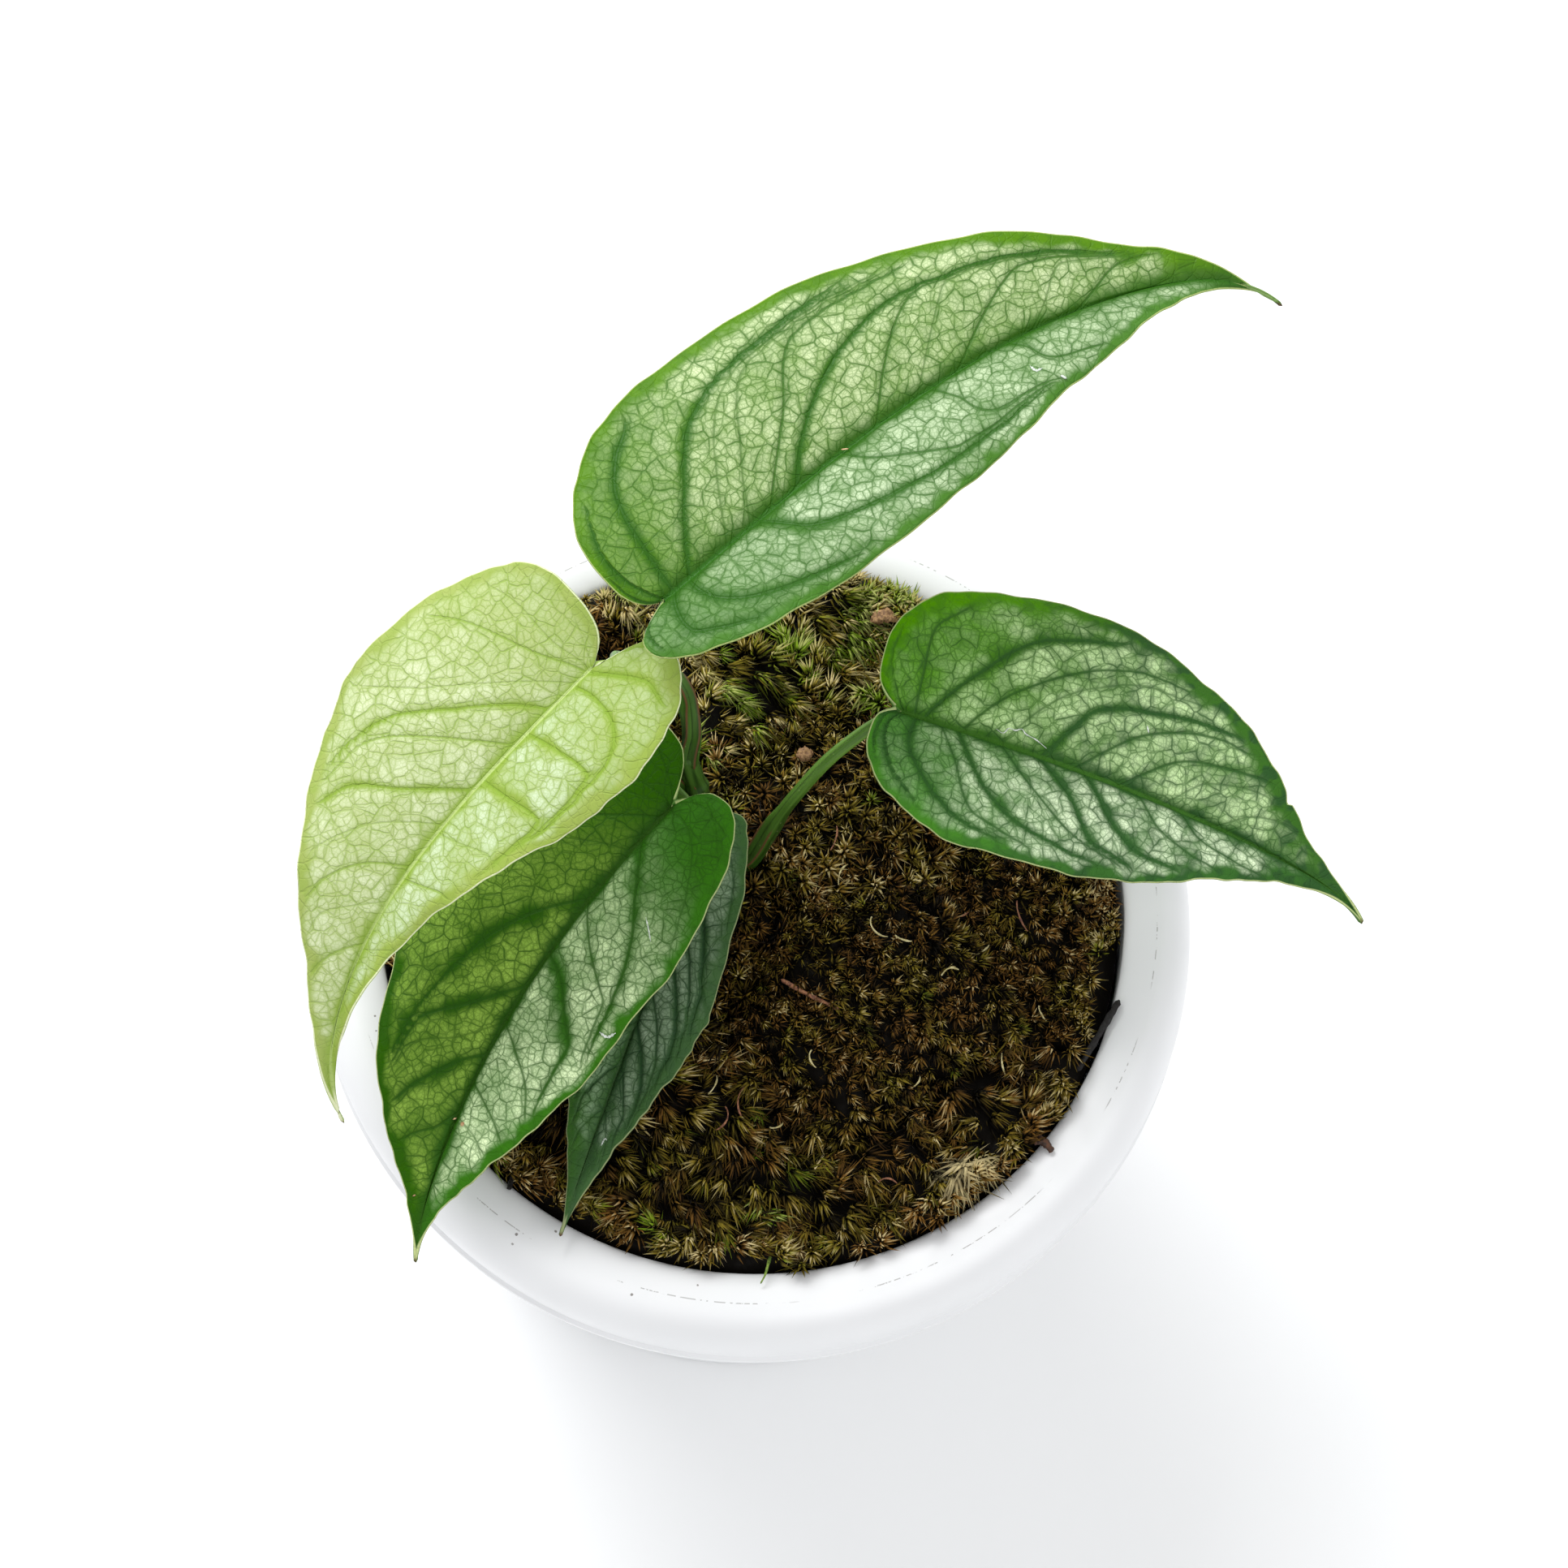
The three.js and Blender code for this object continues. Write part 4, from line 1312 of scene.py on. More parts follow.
@dataclass
class LeafStalk:
    """A leaf stalk: grooved, with a sheath round its lower part, bent over beneath its blade."""

    blade: LeafBlade
    points: Tuple[Point, ...]
    finish: StalkFinish

    SHEATH_RADIUS = 1.65
    SHEATH_END = 0.36
    SHEATH_FADE = 0.12
    RADIUS = 1.3
    TIP_RADIUS = 1.05
    APPROACH = 50.0
    LEAD = 5.0
    FORWARD = 1.2
    UNDER_BLADE = 1.0
    GROOVE = (0.2, 0.45)
    WING_HEIGHT = 0.3
    WING_ANGLE = 0.62
    WING_WIDTH = 0.16
    SIDES = 40
    STEPS = 90

    def path(self) -> Array:
        """Gives the stalk's centre line, up to just beneath the blade.

        Returns:
            Its points.
        """
        blade = self.blade
        tangent = blade.direction(np.zeros(1))[0]
        _, normal = blade.posture(tangent)
        approach = math.radians(self.APPROACH)
        direction = tangent * math.cos(approach) + normal * math.sin(approach)
        below = self.UNDER_BLADE + self.TIP_RADIUS * math.cos(approach)
        end = np.array(blade.base) + tangent * self.FORWARD - normal * below
        return smooth_path([*self.points, end - direction * self.LEAD, end], self.STEPS)

    def build(self, shop: Workshop) -> None:
        """Makes the stalk's piece.

        Args:
            shop: where pieces are made.
        """
        path = self.path()
        share = np.linspace(0, 1, self.STEPS)[:, None]
        angle = turns(self.SIDES)[None]
        turn = np.minimum(angle, 2 * np.pi - angle)
        sheath = 1 - smoothstep(self.SHEATH_END, self.SHEATH_END + self.SHEATH_FADE, share)
        bare = self.RADIUS + (self.TIP_RADIUS - self.RADIUS) * share
        radius = bare + (self.SHEATH_RADIUS - bare) * sheath
        depth, width = self.GROOVE
        groove = depth * bell(turn, width)
        wings = self.WING_HEIGHT * bell(turn - self.WING_ANGLE, self.WING_WIDTH) * sheath
        section = radius * (1 - groove * (0.3 + 0.7 * sheath) + wings)
        skin = tube(path, ABOVE, section)
        skin.values = stalk_values(section, angle * 1.6, share * 40 * 0.08, self.blade.number,
                                   smoothstep(0.22, 0.3, wings), share)
        shop.piece(f"stalk_{self.blade.number}", skin, self.finish, f"leaf_stalk_{self.blade.number}")


@dataclass
class Stem:
    """The short main stem, with a swollen ring at each place where a leaf stalk leaves it."""

    finish: StalkFinish
    points: Tuple[Point, ...] = (
        (-7.4, 10.4, 98), (-7.6, 10.9, 112), (-9.2, 13.4, 120), (-11.2, 15.8, 130), (-13.6, 18.6, 141))
    radius: float = 2.1
    tip_radius: float = 1.6
    nodes: Tuple[float, ...] = (0.3, 0.45, 0.62, 0.78)
    swelling: float = 0.22
    ring_width: float = 0.025
    rounded: float = 0.97
    sides: int = 36
    steps: int = 120

    def build(self, shop: Workshop) -> None:
        """Makes the stem's piece.

        Args:
            shop: where pieces are made.
        """
        share = np.linspace(0, 1, self.steps)[:, None]
        angle = turns(self.sides)[None]
        swell = sum(bell(share - node, self.ring_width) for node in self.nodes)
        radius = (self.radius + (self.tip_radius - self.radius) * share) * (1 + self.swelling * swell)
        end = (share - self.rounded) / (1 - self.rounded)
        radius = radius * np.where(share > self.rounded, np.sqrt(np.maximum(0.02, 1 - end ** 2)), 1)
        section = radius * (1 + 0.03 * np.sin(3 * angle + 9 * share))
        skin = tube(smooth_path(self.points, self.steps), (1.0, 0.0, 0.2), section)
        dry = 0.6 * bell(share - self.nodes[0] - 0.03, 0.01)
        skin.values = stalk_values(section, angle * 2, share * 4, 0.0, dry, np.zeros(1))
        shop.piece("main_stem", skin, self.finish, "stem")


@dataclass
class Pot:
    """The white nursery pot: tapered wall, rolled rim with a free skirt, foot ring and drain holes."""

    finish: PlasticFinish
    height: float = 120.0
    rim_depth: float = 9.5
    mouth_round: float = 2.2
    crisp_angle: float = 38.0
    rim_radius: float = 75.0
    rim_inner: float = 63.0
    skirt_bottom: float = 104.0
    skirt_wall: float = 2.0
    wall: float = 2.4
    foot_radius: float = 56.0
    foot_width: float = 6.0
    foot_recess: float = 2.0
    pad_radius: float = 12.0
    floor_top: float = 4.5
    hole_radius: float = 4.0
    hole_circle: float = 33.0
    holes: int = 6
    sides: int = 192

    @staticmethod
    def arc(centre: Span, radii: Span, start: float, end: float, steps: int) -> List[Span]:
        """Lists points of an arc in the pot's section, from its start angle to its end in degrees."""
        angles = np.radians(np.linspace(start, end, steps + 1))
        return [(centre[0] + radii[0] * math.cos(a), centre[1] + radii[1] * math.sin(a)) for a in angles]

    def profile(self) -> List[Span]:
        """Lists the pot's section, from the middle of its underside round to the middle of its floor.

        Returns:
            Points as radius and height.
        """
        shoulder = self.height - self.rim_depth
        middle = (self.rim_inner + self.rim_radius) / 2
        skirt_inner = self.rim_radius - self.skirt_wall
        wall_top = self.rim_inner + self.wall
        foot_inner = self.foot_radius - self.foot_width
        flange = self.rim_radius + 0.2
        low = self.skirt_bottom
        mouth = self.mouth_round
        return [
            (0, 0), (self.pad_radius, 0), (self.pad_radius + 1, self.foot_recess), (foot_inner - 1, self.foot_recess),
            (foot_inner, 0), (self.foot_radius - 1.5, 0), (self.foot_radius - 0.4, 0.5), (self.foot_radius, 1.5),
            (self.foot_radius + (wall_top - self.foot_radius) * 0.5, low * 0.5), (wall_top, low),
            (wall_top, self.height - 5), (middle, self.height - 3.2), (skirt_inner, self.height - 7),
            (skirt_inner, low), (flange - 0.2, low), (flange, low + 0.2), (flange, low + 1.4),
            (flange - 0.2, low + 1.6), (self.rim_radius - 0.4, low + 2.2), (self.rim_radius - 0.2, low + 4),
            *self.arc((middle, shoulder), (self.rim_radius - middle, self.height - shoulder), 0, 90, 26),
            *self.arc((middle, self.height - mouth), (middle - self.rim_inner, mouth), 98, 180, 18),
            (self.rim_inner, low), (self.foot_radius - self.wall + 1, self.floor_top + 3),
            (self.foot_radius - self.wall, self.floor_top + 1), (self.foot_radius - self.wall - 2, self.floor_top),
            (0, self.floor_top),
        ]

    def skin(self) -> Skin:
        """Turns the section round the upright axis.

        Returns:
            The closed skin, which stores nothing.
        """
        profile = np.array(self.profile(), float)
        body = profile[1:-1]
        angle = turns(self.sides)
        ring = np.stack([np.cos(angle), np.sin(angle)], 1)
        points = np.concatenate([body[:, None, :1] * ring[None], np.repeat(body[:, None, 1:], self.sides, 1)], 2)
        flat = np.vstack([points.reshape(-1, 3), [0, 0, profile[0, 1]], [0, 0, profile[-1, 1]]])
        return Skin(flat, ring_faces(len(body), self.sides))

    def drilled(self, obj: Object, shop: Workshop) -> None:
        """Cuts the drain holes through the floor.

        Args:
            obj: the pot.
            shop: where meshes are made.
        """
        drills = []
        for i in range(self.holes):
            angle = (i + 0.5) / self.holes * 2 * math.pi
            x, y = self.hole_circle * math.cos(angle), self.hole_circle * math.sin(angle)
            path = np.array([[x, y, -3.0], [x, y, self.floor_top * 3]])
            drills.append(tube(path, (1.0, 0.0, 0.0), np.full((2, 40), self.hole_radius)))
        cutter = new_object("drill", shop.mesh("drill", Skin.joined(drills)))
        cut = obj.modifiers.new("holes", "BOOLEAN")
        cut.operation, cut.object, cut.solver = "DIFFERENCE", cutter, "EXACT"
        made = bpy.data.meshes.new_from_object(obj.evaluated_get(bpy.context.evaluated_depsgraph_get()))
        obj.modifiers.clear()
        obj.data = made
        bpy.data.objects.remove(cutter)

    def build(self, shop: Workshop) -> None:
        """Makes the pot's piece.

        Args:
            shop: where pieces are made.
        """
        obj = shop.piece("nursery_pot", self.skin(), self.finish, "pot")
        self.drilled(obj, shop)
        obj.data.set_sharp_from_angle(angle=math.radians(self.crisp_angle))


@dataclass(frozen=True)
class ShootForm:
    """Form of one kind of moss shoot, in millimetres and degrees."""

    spacing: float
    leaflets: int
    length: float
    width: float
    height: float
    flat_angle: float
    top_angle: float
    sweep: float
    curl: float
    lean: float
    stray: float


class Growth(Enum):
    """Ways in which the moss grows: fine and dense, in open stars, or long and combed to one side."""

    FINE = ShootForm(1.9, 22, 2.3, 0.34, 2.5, 64, 10, 0.4, 0.25, 24, 0.5)
    STAR = ShootForm(2.7, 30, 3.3, 0.4, 3.2, 72, 12, 0.25, 0.4, 20, 1.2)
    SWEPT = ShootForm(2.7, 30, 3.7, 0.4, 3.4, 62, 14, 0.75, 0.15, 34, 0.55)


BARE_SPOTS = ((-7.6, 11.2, 2.4), (60.0, -12.0, 2.5), (60.0, -16.0, 1.8), (58.4, -19.6, 1.5), (57.0, -22.8, 1.4),
              (60.5, -7.6, 2.8), (60.9, -3.6, 2.2), (7.2, -13.9, 0.8), (10.6, -15.0, 0.8), (14.2, -16.8, 0.8))


@dataclass
class MossCushion:
    """One cushion of moss: a low mound and the shoots that stand on it.

    Each tuft has a place, a hue and a size. The ranges named FROM are distances from the pot's middle.
    """

    number: int
    x: float
    y: float
    edge: float
    peak: float
    growth: Growth
    hue: float
    combed: float = 0.0
    # How far the cushion's tone is raised: painted light, brighter where more light falls on the moss at the back.
    light: float = 1.0
    tufts: Tuple[Tuple[float, float, float, float], ...] = ()

    RADIUS = 62.4
    BOTTOM = 110.8
    GAP = 0.4
    HELD = 62.5
    SIDES = 96
    RINGS = 16
    SINK = 2.3
    ROOT_DEPTH = 1.5
    JITTER = 0.36
    ROW_STEP = 0.866
    WALL_CLEAR = 0.2
    TUFT_SPREAD = 1.3
    UPRIGHT_FROM = (53, 61)
    LIFTED_FROM = (58, 61.5)
    CALM_FROM = (56, 61)
    GROWN_FROM = (57, 61)
    SEAM = (0.72, 0.98)
    FIRST_SEED = 100
    FULL_TURN = 6.28
    LEAFLET_POINTS = 7
    # Tone at each leaflet's base, middle and tip points: the dark base is painted shade inside the shoot, partly the
    # darker older base, and the tip is pale.
    LEAFLET_TONES = (0.0, 0.0, 0.0, 0.6, 0.6, 0.6, 1.0)
    LEAFLET_FACES = ((0, 2, 1), (0, 1, 4), (0, 4, 3), (1, 2, 5), (1, 5, 4), (2, 0, 3), (2, 3, 5), (3, 4, 6), (4, 5, 6),
                     (5, 3, 6))
    GREENEST = 0.86
    PALE = 0.8

    def reach(self, angle: Array, others: Sequence["MossCushion"]) -> Array:
        """Finds how far the cushion reaches, halfway to its neighbours or out to the pot's wall.

        Args:
            angle: directions from the cushion's centre.
            others: every cushion.

        Returns:
            Distances in millimetres.
        """
        dx, dy = np.cos(angle), np.sin(angle)
        toward = self.x * dx + self.y * dy
        best = -toward + np.sqrt(toward ** 2 + self.RADIUS ** 2 - self.x ** 2 - self.y ** 2)
        for other in others:
            if other is self:
                continue
            ox, oy = other.x - self.x, other.y - self.y
            distance = math.hypot(ox, oy)
            facing = (dx * ox + dy * oy) / distance
            limit = np.where(facing > 1e-6, (distance / 2 - self.GAP) / np.maximum(facing, 1e-6), np.inf)
            best = np.minimum(best, limit)
        return best

    def surface(self, x: Array, y: Array, others: Sequence["MossCushion"]) -> Tuple[Array, Array]:
        """Gives the mound's height.

        Args:
            x: places along X.
            y: places along Y.
            others: every cushion.

        Returns:
            Heights, and how far out each place is, with 1 at the cushion's edge.
        """
        distance = np.hypot(x - self.x, y - self.y)
        out = distance / self.reach(np.arctan2(y - self.y, x - self.x), others)
        dome = np.sqrt(np.maximum(0, 1 - np.minimum(out, 1) ** 3))
        relief = 0.5 * np.sin(0.62 * x + 1.3) * np.cos(0.55 * y) + 0.35 * np.sin(0.9 * y + 0.5 * x)
        return self.edge + (self.peak - self.edge) * dome + relief * (1 - 0.7 * np.minimum(out, 1)), out

    def mound(self, others: Sequence["MossCushion"]) -> Skin:
        """Builds the closed mound beneath the shoots.

        Args:
            others: every cushion.

        Returns:
            The skin.
        """
        angle = turns(self.SIDES)
        share = np.sin(np.linspace(0, 1, self.RINGS + 1)[1:] * np.pi / 2)[:, None]
        distance = self.reach(angle, others)[None] * share
        x, y = self.x + distance * np.cos(angle), self.y + distance * np.sin(angle)
        z, _ = self.surface(x, y, others)
        z = z - self.SINK + 0.4 * np.sin(2.9 * x + 0.7) * np.sin(3.1 * y) * (1 - share)
        grid = np.stack([x, y, z], -1)
        bottom = grid[-1].copy()
        bottom[:, 2] = self.BOTTOM
        ends = [[self.x, self.y, self.peak - self.SINK], [self.x, self.y, self.BOTTOM]]
        points = np.concatenate([grid.reshape(-1, 3), bottom, ends])
        # The mound stores tone 0, so it takes the near-black root colour: painted shade in the gaps between the shoots,
        # partly the dark mat beneath.
        values = {"tone": np.zeros(len(points)), "hue": np.full(len(points), self.hue)}
        return Skin(points, ring_faces(self.RINGS + 1, self.SIDES, outward=True), values)

    def comb(self, x: Array, y: Array) -> Array:
        """Gives the angle that the shoots lean at, drifting from place to place."""
        drift = 1.3 * np.sin(0.19 * x + 1.7 * self.number) * np.cos(0.16 * y - 0.4 * self.number)
        return self.combed + drift + 0.9 * np.sin(0.31 * y + 0.23 * x)

    def roots(self, others: Sequence["MossCushion"], rng: np.random.Generator) -> Tuple[Array, Array, Array]:
        """Chooses where the shoots stand.

        Args:
            others: every cushion.
            rng: the cushion's own random draw.

        Returns:
            Root points, the directions that the shoots grow in, and each one's size and, in a tuft, its hue.
        """
        form = self.growth.value
        step = form.spacing
        i, j = np.meshgrid(np.arange(-44, 45), np.arange(-50, 51), indexing="ij")
        x = (self.x + (i + 0.5 * (j % 2)) * step + rng.uniform(-self.JITTER, self.JITTER, i.shape) * step).ravel()
        y = (self.y + j * step * self.ROW_STEP + rng.uniform(-self.JITTER, self.JITTER, i.shape) * step).ravel()
        _, out = self.surface(x, y, others)
        kept = (out < 1.02) & (np.hypot(x, y) < self.RADIUS - self.WALL_CLEAR)
        for spot_x, spot_y, clear in BARE_SPOTS:
            kept &= np.hypot(x - spot_x, y - spot_y) > clear
        spread = self.TUFT_SPREAD
        extra = np.array([(tx + spread * math.cos(k * 2.1), ty + spread * math.sin(k * 2.1), hue, size)
                          for tx, ty, hue, size in self.tufts for k in range(3)]).reshape(-1, 4)
        x, y = np.append(x[kept], extra[:, 0]), np.append(y[kept], extra[:, 1])
        z, _ = self.surface(x, y, others)
        own = np.zeros((len(x), 2))
        own[:, 0] = rng.uniform(0.68, 1.2, len(x))
        own[len(x) - len(extra):] = extra[:, [3, 2]]
        east, _ = self.surface(x + 0.5, y, others)
        north, _ = self.surface(x, y + 0.5, others)
        slope = unit(np.stack([z - east, z - north, np.full_like(z, 0.9)], 1))
        far = np.hypot(x, y)
        wall = smoothstep(*self.UPRIGHT_FROM, far)[:, None]
        _, out = self.surface(x, y, others)
        seam = smoothstep(*self.SEAM, out)[:, None]
        lift = 1.3 * smoothstep(*self.LIFTED_FROM, far)[:, None] * rng.uniform(0.0, 0.8, (len(x), 1))
        lift = np.maximum(1.5 * seam, 1.6 * wall) + lift
        comb = self.comb(x, y) + rng.normal(0, form.stray, len(x))
        lean = np.tan(np.radians(form.lean * rng.uniform(0.3, 1.5, len(x))))[:, None]
        side = np.stack([np.cos(comb), np.sin(comb), np.zeros_like(x)], 1) * lean
        outward = np.stack([x - self.x, y - self.y, np.zeros_like(x)], 1) / 40
        inward = -np.stack([x, y, np.zeros_like(x)], 1) / self.RADIUS * 0.3
        level = np.maximum(wall, 0.8 * seam)
        aside = (side + outward) * (1 - 0.7 * wall)
        axis = unit(slope * (1 - level) + np.array([0, 0, 1]) * level + aside + inward * wall)
        return np.stack([x, y, z - self.ROOT_DEPTH + lift[:, 0]], 1), axis, own

    def shoots(self, others: Sequence["MossCushion"]) -> Skin:
        """Builds the shoots: slim three-sided leaflets set in a spiral round each stalk.

        Args:
            others: every cushion.

        Returns:
            One skin for all of them.
        """
        form = self.growth.value
        rng = np.random.default_rng(self.FIRST_SEED + self.number)
        root, axis, own = self.roots(others, rng)
        count, leaflets = len(root), form.leaflets
        x, y, own_hue = root[:, :1], root[:, 1:2], own[:, 1:, None]
        far = np.hypot(x, y)
        size = own[:, :1, None] * (1 + 0.08 * smoothstep(*self.GROWN_FROM, far)[..., None])
        step = np.linspace(0, 1, leaflets)[None, :, None]
        turn = np.arange(leaflets)[None, :, None] * GOLDEN_TURN + rng.uniform(0, self.FULL_TURN, (count, 1, 1))
        turn = turn + rng.normal(0, 0.25, (count, leaflets, 1))
        axis = axis[:, None]
        first = unit(np.cross(axis, np.array([0.3, 0.9, 0.2])))
        second = np.cross(axis, first)
        angle = np.radians(form.flat_angle + (form.top_angle - form.flat_angle) * step ** 0.8)
        angle = angle + rng.normal(0, 0.14, (count, leaflets, 1))
        radial = first * np.cos(turn) + second * np.sin(turn)
        way = axis * np.cos(angle) + radial * np.sin(angle)
        comb = self.comb(x, y) + rng.normal(0, form.stray, (count, 1))
        sweep = np.stack([np.cos(comb), np.sin(comb), np.full_like(comb, -0.2)], -1)
        wall = smoothstep(*self.CALM_FROM, far)[..., None]
        calm = 1 - 0.5 * wall
        length = form.length * size * rng.uniform(0.7, 1.15, (count, leaflets, 1)) * (1 - 0.3 * step)
        start = root[:, None] + axis * form.height * size * (0.15 + 0.85 * step)
        bend = (sweep * form.sweep * calm + radial * form.curl * calm - np.array([0, 0, 0.2])) * length
        points, faces = self.leaflets(start, way, bend, length, form.width * size)
        points[:, :2] *= self.pulled_in(points, np.repeat(own[:, 1] > 0, self.LEAFLET_POINTS * leaflets))[:, None]
        # Each leaflet's tone: lower leaflets darker as painted shade inside the shoot, random otherwise, and raised by
        # the cushion's light factor as painted light.
        shade = rng.uniform(0.35, 1.05, (count, leaflets, 1)) * (0.35 + 0.65 * step ** 0.7)
        shade = shade * np.clip(rng.normal(1.0, 0.27, (count, 1, 1)), 0.4, 1.6) * self.light
        # Pale tufts get a brighter tone, partly their own paleness and partly painted light; near the wall the tone is
        # raised, taking out some of the painted shade so those leaflets don't show black.
        shade = np.where(own_hue > self.PALE, shade * 1.5, shade * (1 + 0.2 * wall) + 0.28 * wall)
        drift = np.sin(0.37 * x + 1.0) * np.sin(0.33 * y - 0.6 + 0.1 * x)
        hue = self.hue + 0.22 * drift[..., None] + rng.normal(0, 0.1, (count, 1, 1))
        hue = np.clip(hue + rng.normal(0, 0.05, (count, leaflets, 1)), 0, self.GREENEST)
        values = {
            "tone": np.clip(np.array(self.LEAFLET_TONES) * shade, 0, 1).reshape(-1),
            "hue": np.repeat(np.where(own_hue > 0, own_hue, hue), self.LEAFLET_POINTS, axis=2).reshape(-1),
        }
        return Skin(points, faces, values)

    def pulled_in(self, points: Array, free: Array) -> Array:
        """Gives the share of its distance outwards that each point keeps at the pot's wall, all where it is free."""
        far = np.hypot(points[:, 0], points[:, 1])
        return np.where(free, far, np.minimum(far, self.HELD + 0.5 * (far - self.HELD))) / far

    def leaflets(self, start: Array, way: Array, bend: Array, length: Array, width: Array) -> Tuple[Array, Array]:
        """Shapes leaflets as bent slivers with a pointed end.

        Args:
            start: where each leaflet leaves its stalk.
            way: the direction it leaves in.
            bend: how far its end is bent away, in millimetres.
            length: its length.
            width: its width.

        Returns:
            Points and triangles.
        """
        flat = unit(np.cross(way, bend + np.array([0.01, 0.02, 0.03])))
        rise = np.cross(flat, way)
        rings = []
        for share, wide in ((0.0, 0.6), (0.5, 1.0)):
            centre = start + way * length * share + bend * share ** 2
            for offset in (-flat * 0.5, flat * 0.5, rise * 0.4):
                rings.append(centre + offset * width * wide)
        rings.append(start + way * length + bend)
        points = np.stack(rings, axis=2).reshape(-1, 3)
        firsts = np.arange(len(points) // self.LEAFLET_POINTS) * self.LEAFLET_POINTS
        return points, (np.array(self.LEAFLET_FACES)[None] + firsts[:, None, None]).reshape(-1, 3)

    def build(self, shop: Workshop, others: Sequence["MossCushion"]) -> None:
        """Makes the cushion's piece, which leaves room for the others."""
        skin = Skin.joined([self.mound(others), self.shoots(others)])
        shop.piece(f"moss_{self.number}", skin, MossFinish(), f"moss_cushion_{self.number}")


@dataclass
class Litter:
    """Small things lying on the moss and rim: slivers of bark, a twig, flakes, fibres and a sprout.

    Each spot of fibre has a place, an angle, a length and a curl.
    """

    bark: PlainFinish = PlainFinish("dark_bark", "dead_wood", "070606", "181312", 0.8)
    red: PlainFinish = PlainFinish("red_twig", "dead_wood", "62392A", "A97453", 0.6)
    tan: PlainFinish = PlainFinish("tan_flake", "dead_wood", "6E4C30", "B08A60", 0.6)
    pale: PlainFinish = PlainFinish("dry_fibre", "dead_wood", "A89A62", "DDD2A0", 0.7)
    brown: PlainFinish = PlainFinish("brown_bark", "dead_wood", "2A1A10", "5E3E2A", 0.8)
    leafy: PlainFinish = PlainFinish("green_sprout", "green_stem", "4E6A20", "86A040", 0.6)

    SPROUT = ((8.6, -59.6, 118.6), (8.3, -61.6, 120.6), (8.0, -63.4, 121.2), (7.4, -64.8, 120.7))
    FLAKES = (((4.6, 26.6, 121.6), (6.0, 27.0, 121.9), (7.4, 27.5, 121.7)),
              ((15.0, 52.4, 121.2), (17.4, 53.4, 122.4), (19.8, 53.0, 121.6)))
    RIM_BARK = ((50.0, -35.4, 119.6), (52.0, -36.2, 120.7), (53.6, -37.6, 120.4))
    FIBRE_SEED = 7
    FIBRE_STEPS = 14
    FIBRE_RADIUS = 0.2
    FIBRE_LIFT = 2.0
    PALE_SPOTS = ((20.1, -0.7, -0.9, 5.4, 2.2), (24.0, -4.0, -0.3, 3.2, 1.4), (12.2, -24.8, -1.3, 3.6, 1.8),
                  (32.4, -10.2, 0.5, 3.4, -1.4), (44.0, -21.0, -1.4, 4.0, 0.8), (-4.6, -34.0, 1.2, 3.6, 1.2),
                  (38.0, -4.0, 0.7, 3.0, 1.0), (14.0, 4.6, 1.3, 4.2, -1.1), (28.6, -29.4, 0.9, 3.2, 1.6),
                  (49.6, -11.8, -1.1, 3.0, 1.2), (6.2, -38.2, 0.4, 2.8, 2.0))
    RED_SPOTS = ((2.0, -31.4, -1.5, 7.2, 1.6), (-1.6, -35.4, -1.8, 5.2, -2.0), (44.4, 6.2, -1.2, 5.8, 0.9),
                 (33.0, 2.0, 0.4, 3.8, 1.2), (-12.0, -22.4, 1.1, 4.6, 1.5), (24.6, -46.4, 0.2, 4.0, -1.6),
                 (11.8, 10.4, 1.4, 4.6, 0.8))

    def rod(self, shop: Workshop, name: str, points: Sequence[Sequence[float]], radius: float, finish: PlainFinish,
            *nodes: str, steps: int = 30, flat: float = 0.75, taper: float = 0.2, blunt: float = 40.0) -> None:
        """Makes a thin rough rod along a few points.

        Args:
            shop: where pieces are made.
            name: the piece's name.
            points: its path.
            radius: its thickness at the start.
            finish: its finish.
            nodes: the frame nodes that it stands for.
            steps: how many rings it has.
            flat: how flat its section is.
            taper: how much thinner it ends.
            blunt: how bluntly it ends, from 2 for an oval upwards.
        """
        share = np.linspace(0, 1, steps)[:, None]
        angle = turns(12)[None]
        rough = 1 + 0.14 * np.sin(17 * share + 2 * angle) + 0.1 * np.sin(41 * share + 3 * angle)
        section = radius * (1 - taper * share) * rough * (flat + (1 - flat) * np.abs(np.sin(angle)))
        section = section * np.sqrt(np.clip(np.minimum(share, 1 - share) * blunt, 0.05, 1))
        shop.piece(name, tube(smooth_path(points, steps), NEARLY_ABOVE, section), finish, *nodes)

    def build(self, shop: Workshop) -> None:
        """Makes every small piece.

        Args:
            shop: where pieces are made.
        """
        # Each rod runs from one corner of its box, marked 1 on the high sides, to the opposite one.
        for name, thick, finish, corner, bow in (("bark_sliver_1", 0.6, self.bark, (1, 1, 1), (0, 0, 0)),
                                                 ("bark_sliver_2", 0.45, self.bark, (0, 0, 1), (0, 0, 0)),
                                                 ("twig", 0.4, self.red, (0, 1, 0), (0, -0.3, 0.25))):
            low, high = (np.array(side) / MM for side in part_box(name))
            thin = thick * 0.65
            start = np.where(corner, high - thick, low + thick)
            end = np.where(corner, low + thin, high - thin)
            path = [start, (start + end) / 2 + np.array(bow), end]
            self.rod(shop, f"{name}_finish", path, thick, finish, name)
        self.fibres(shop)
        self.rod(shop, "sprout", self.SPROUT, 0.32, self.leafy, taper=0.6)
        for number, points in enumerate(self.FLAKES, 1):
            self.rod(shop, f"tan_flake_{number}", points, 1.35, self.tan, steps=24, flat=0.45, taper=0.1, blunt=2.6)
        self.rod(shop, "rim_bark", self.RIM_BARK, 1.0, self.brown, flat=0.8, taper=0.5)

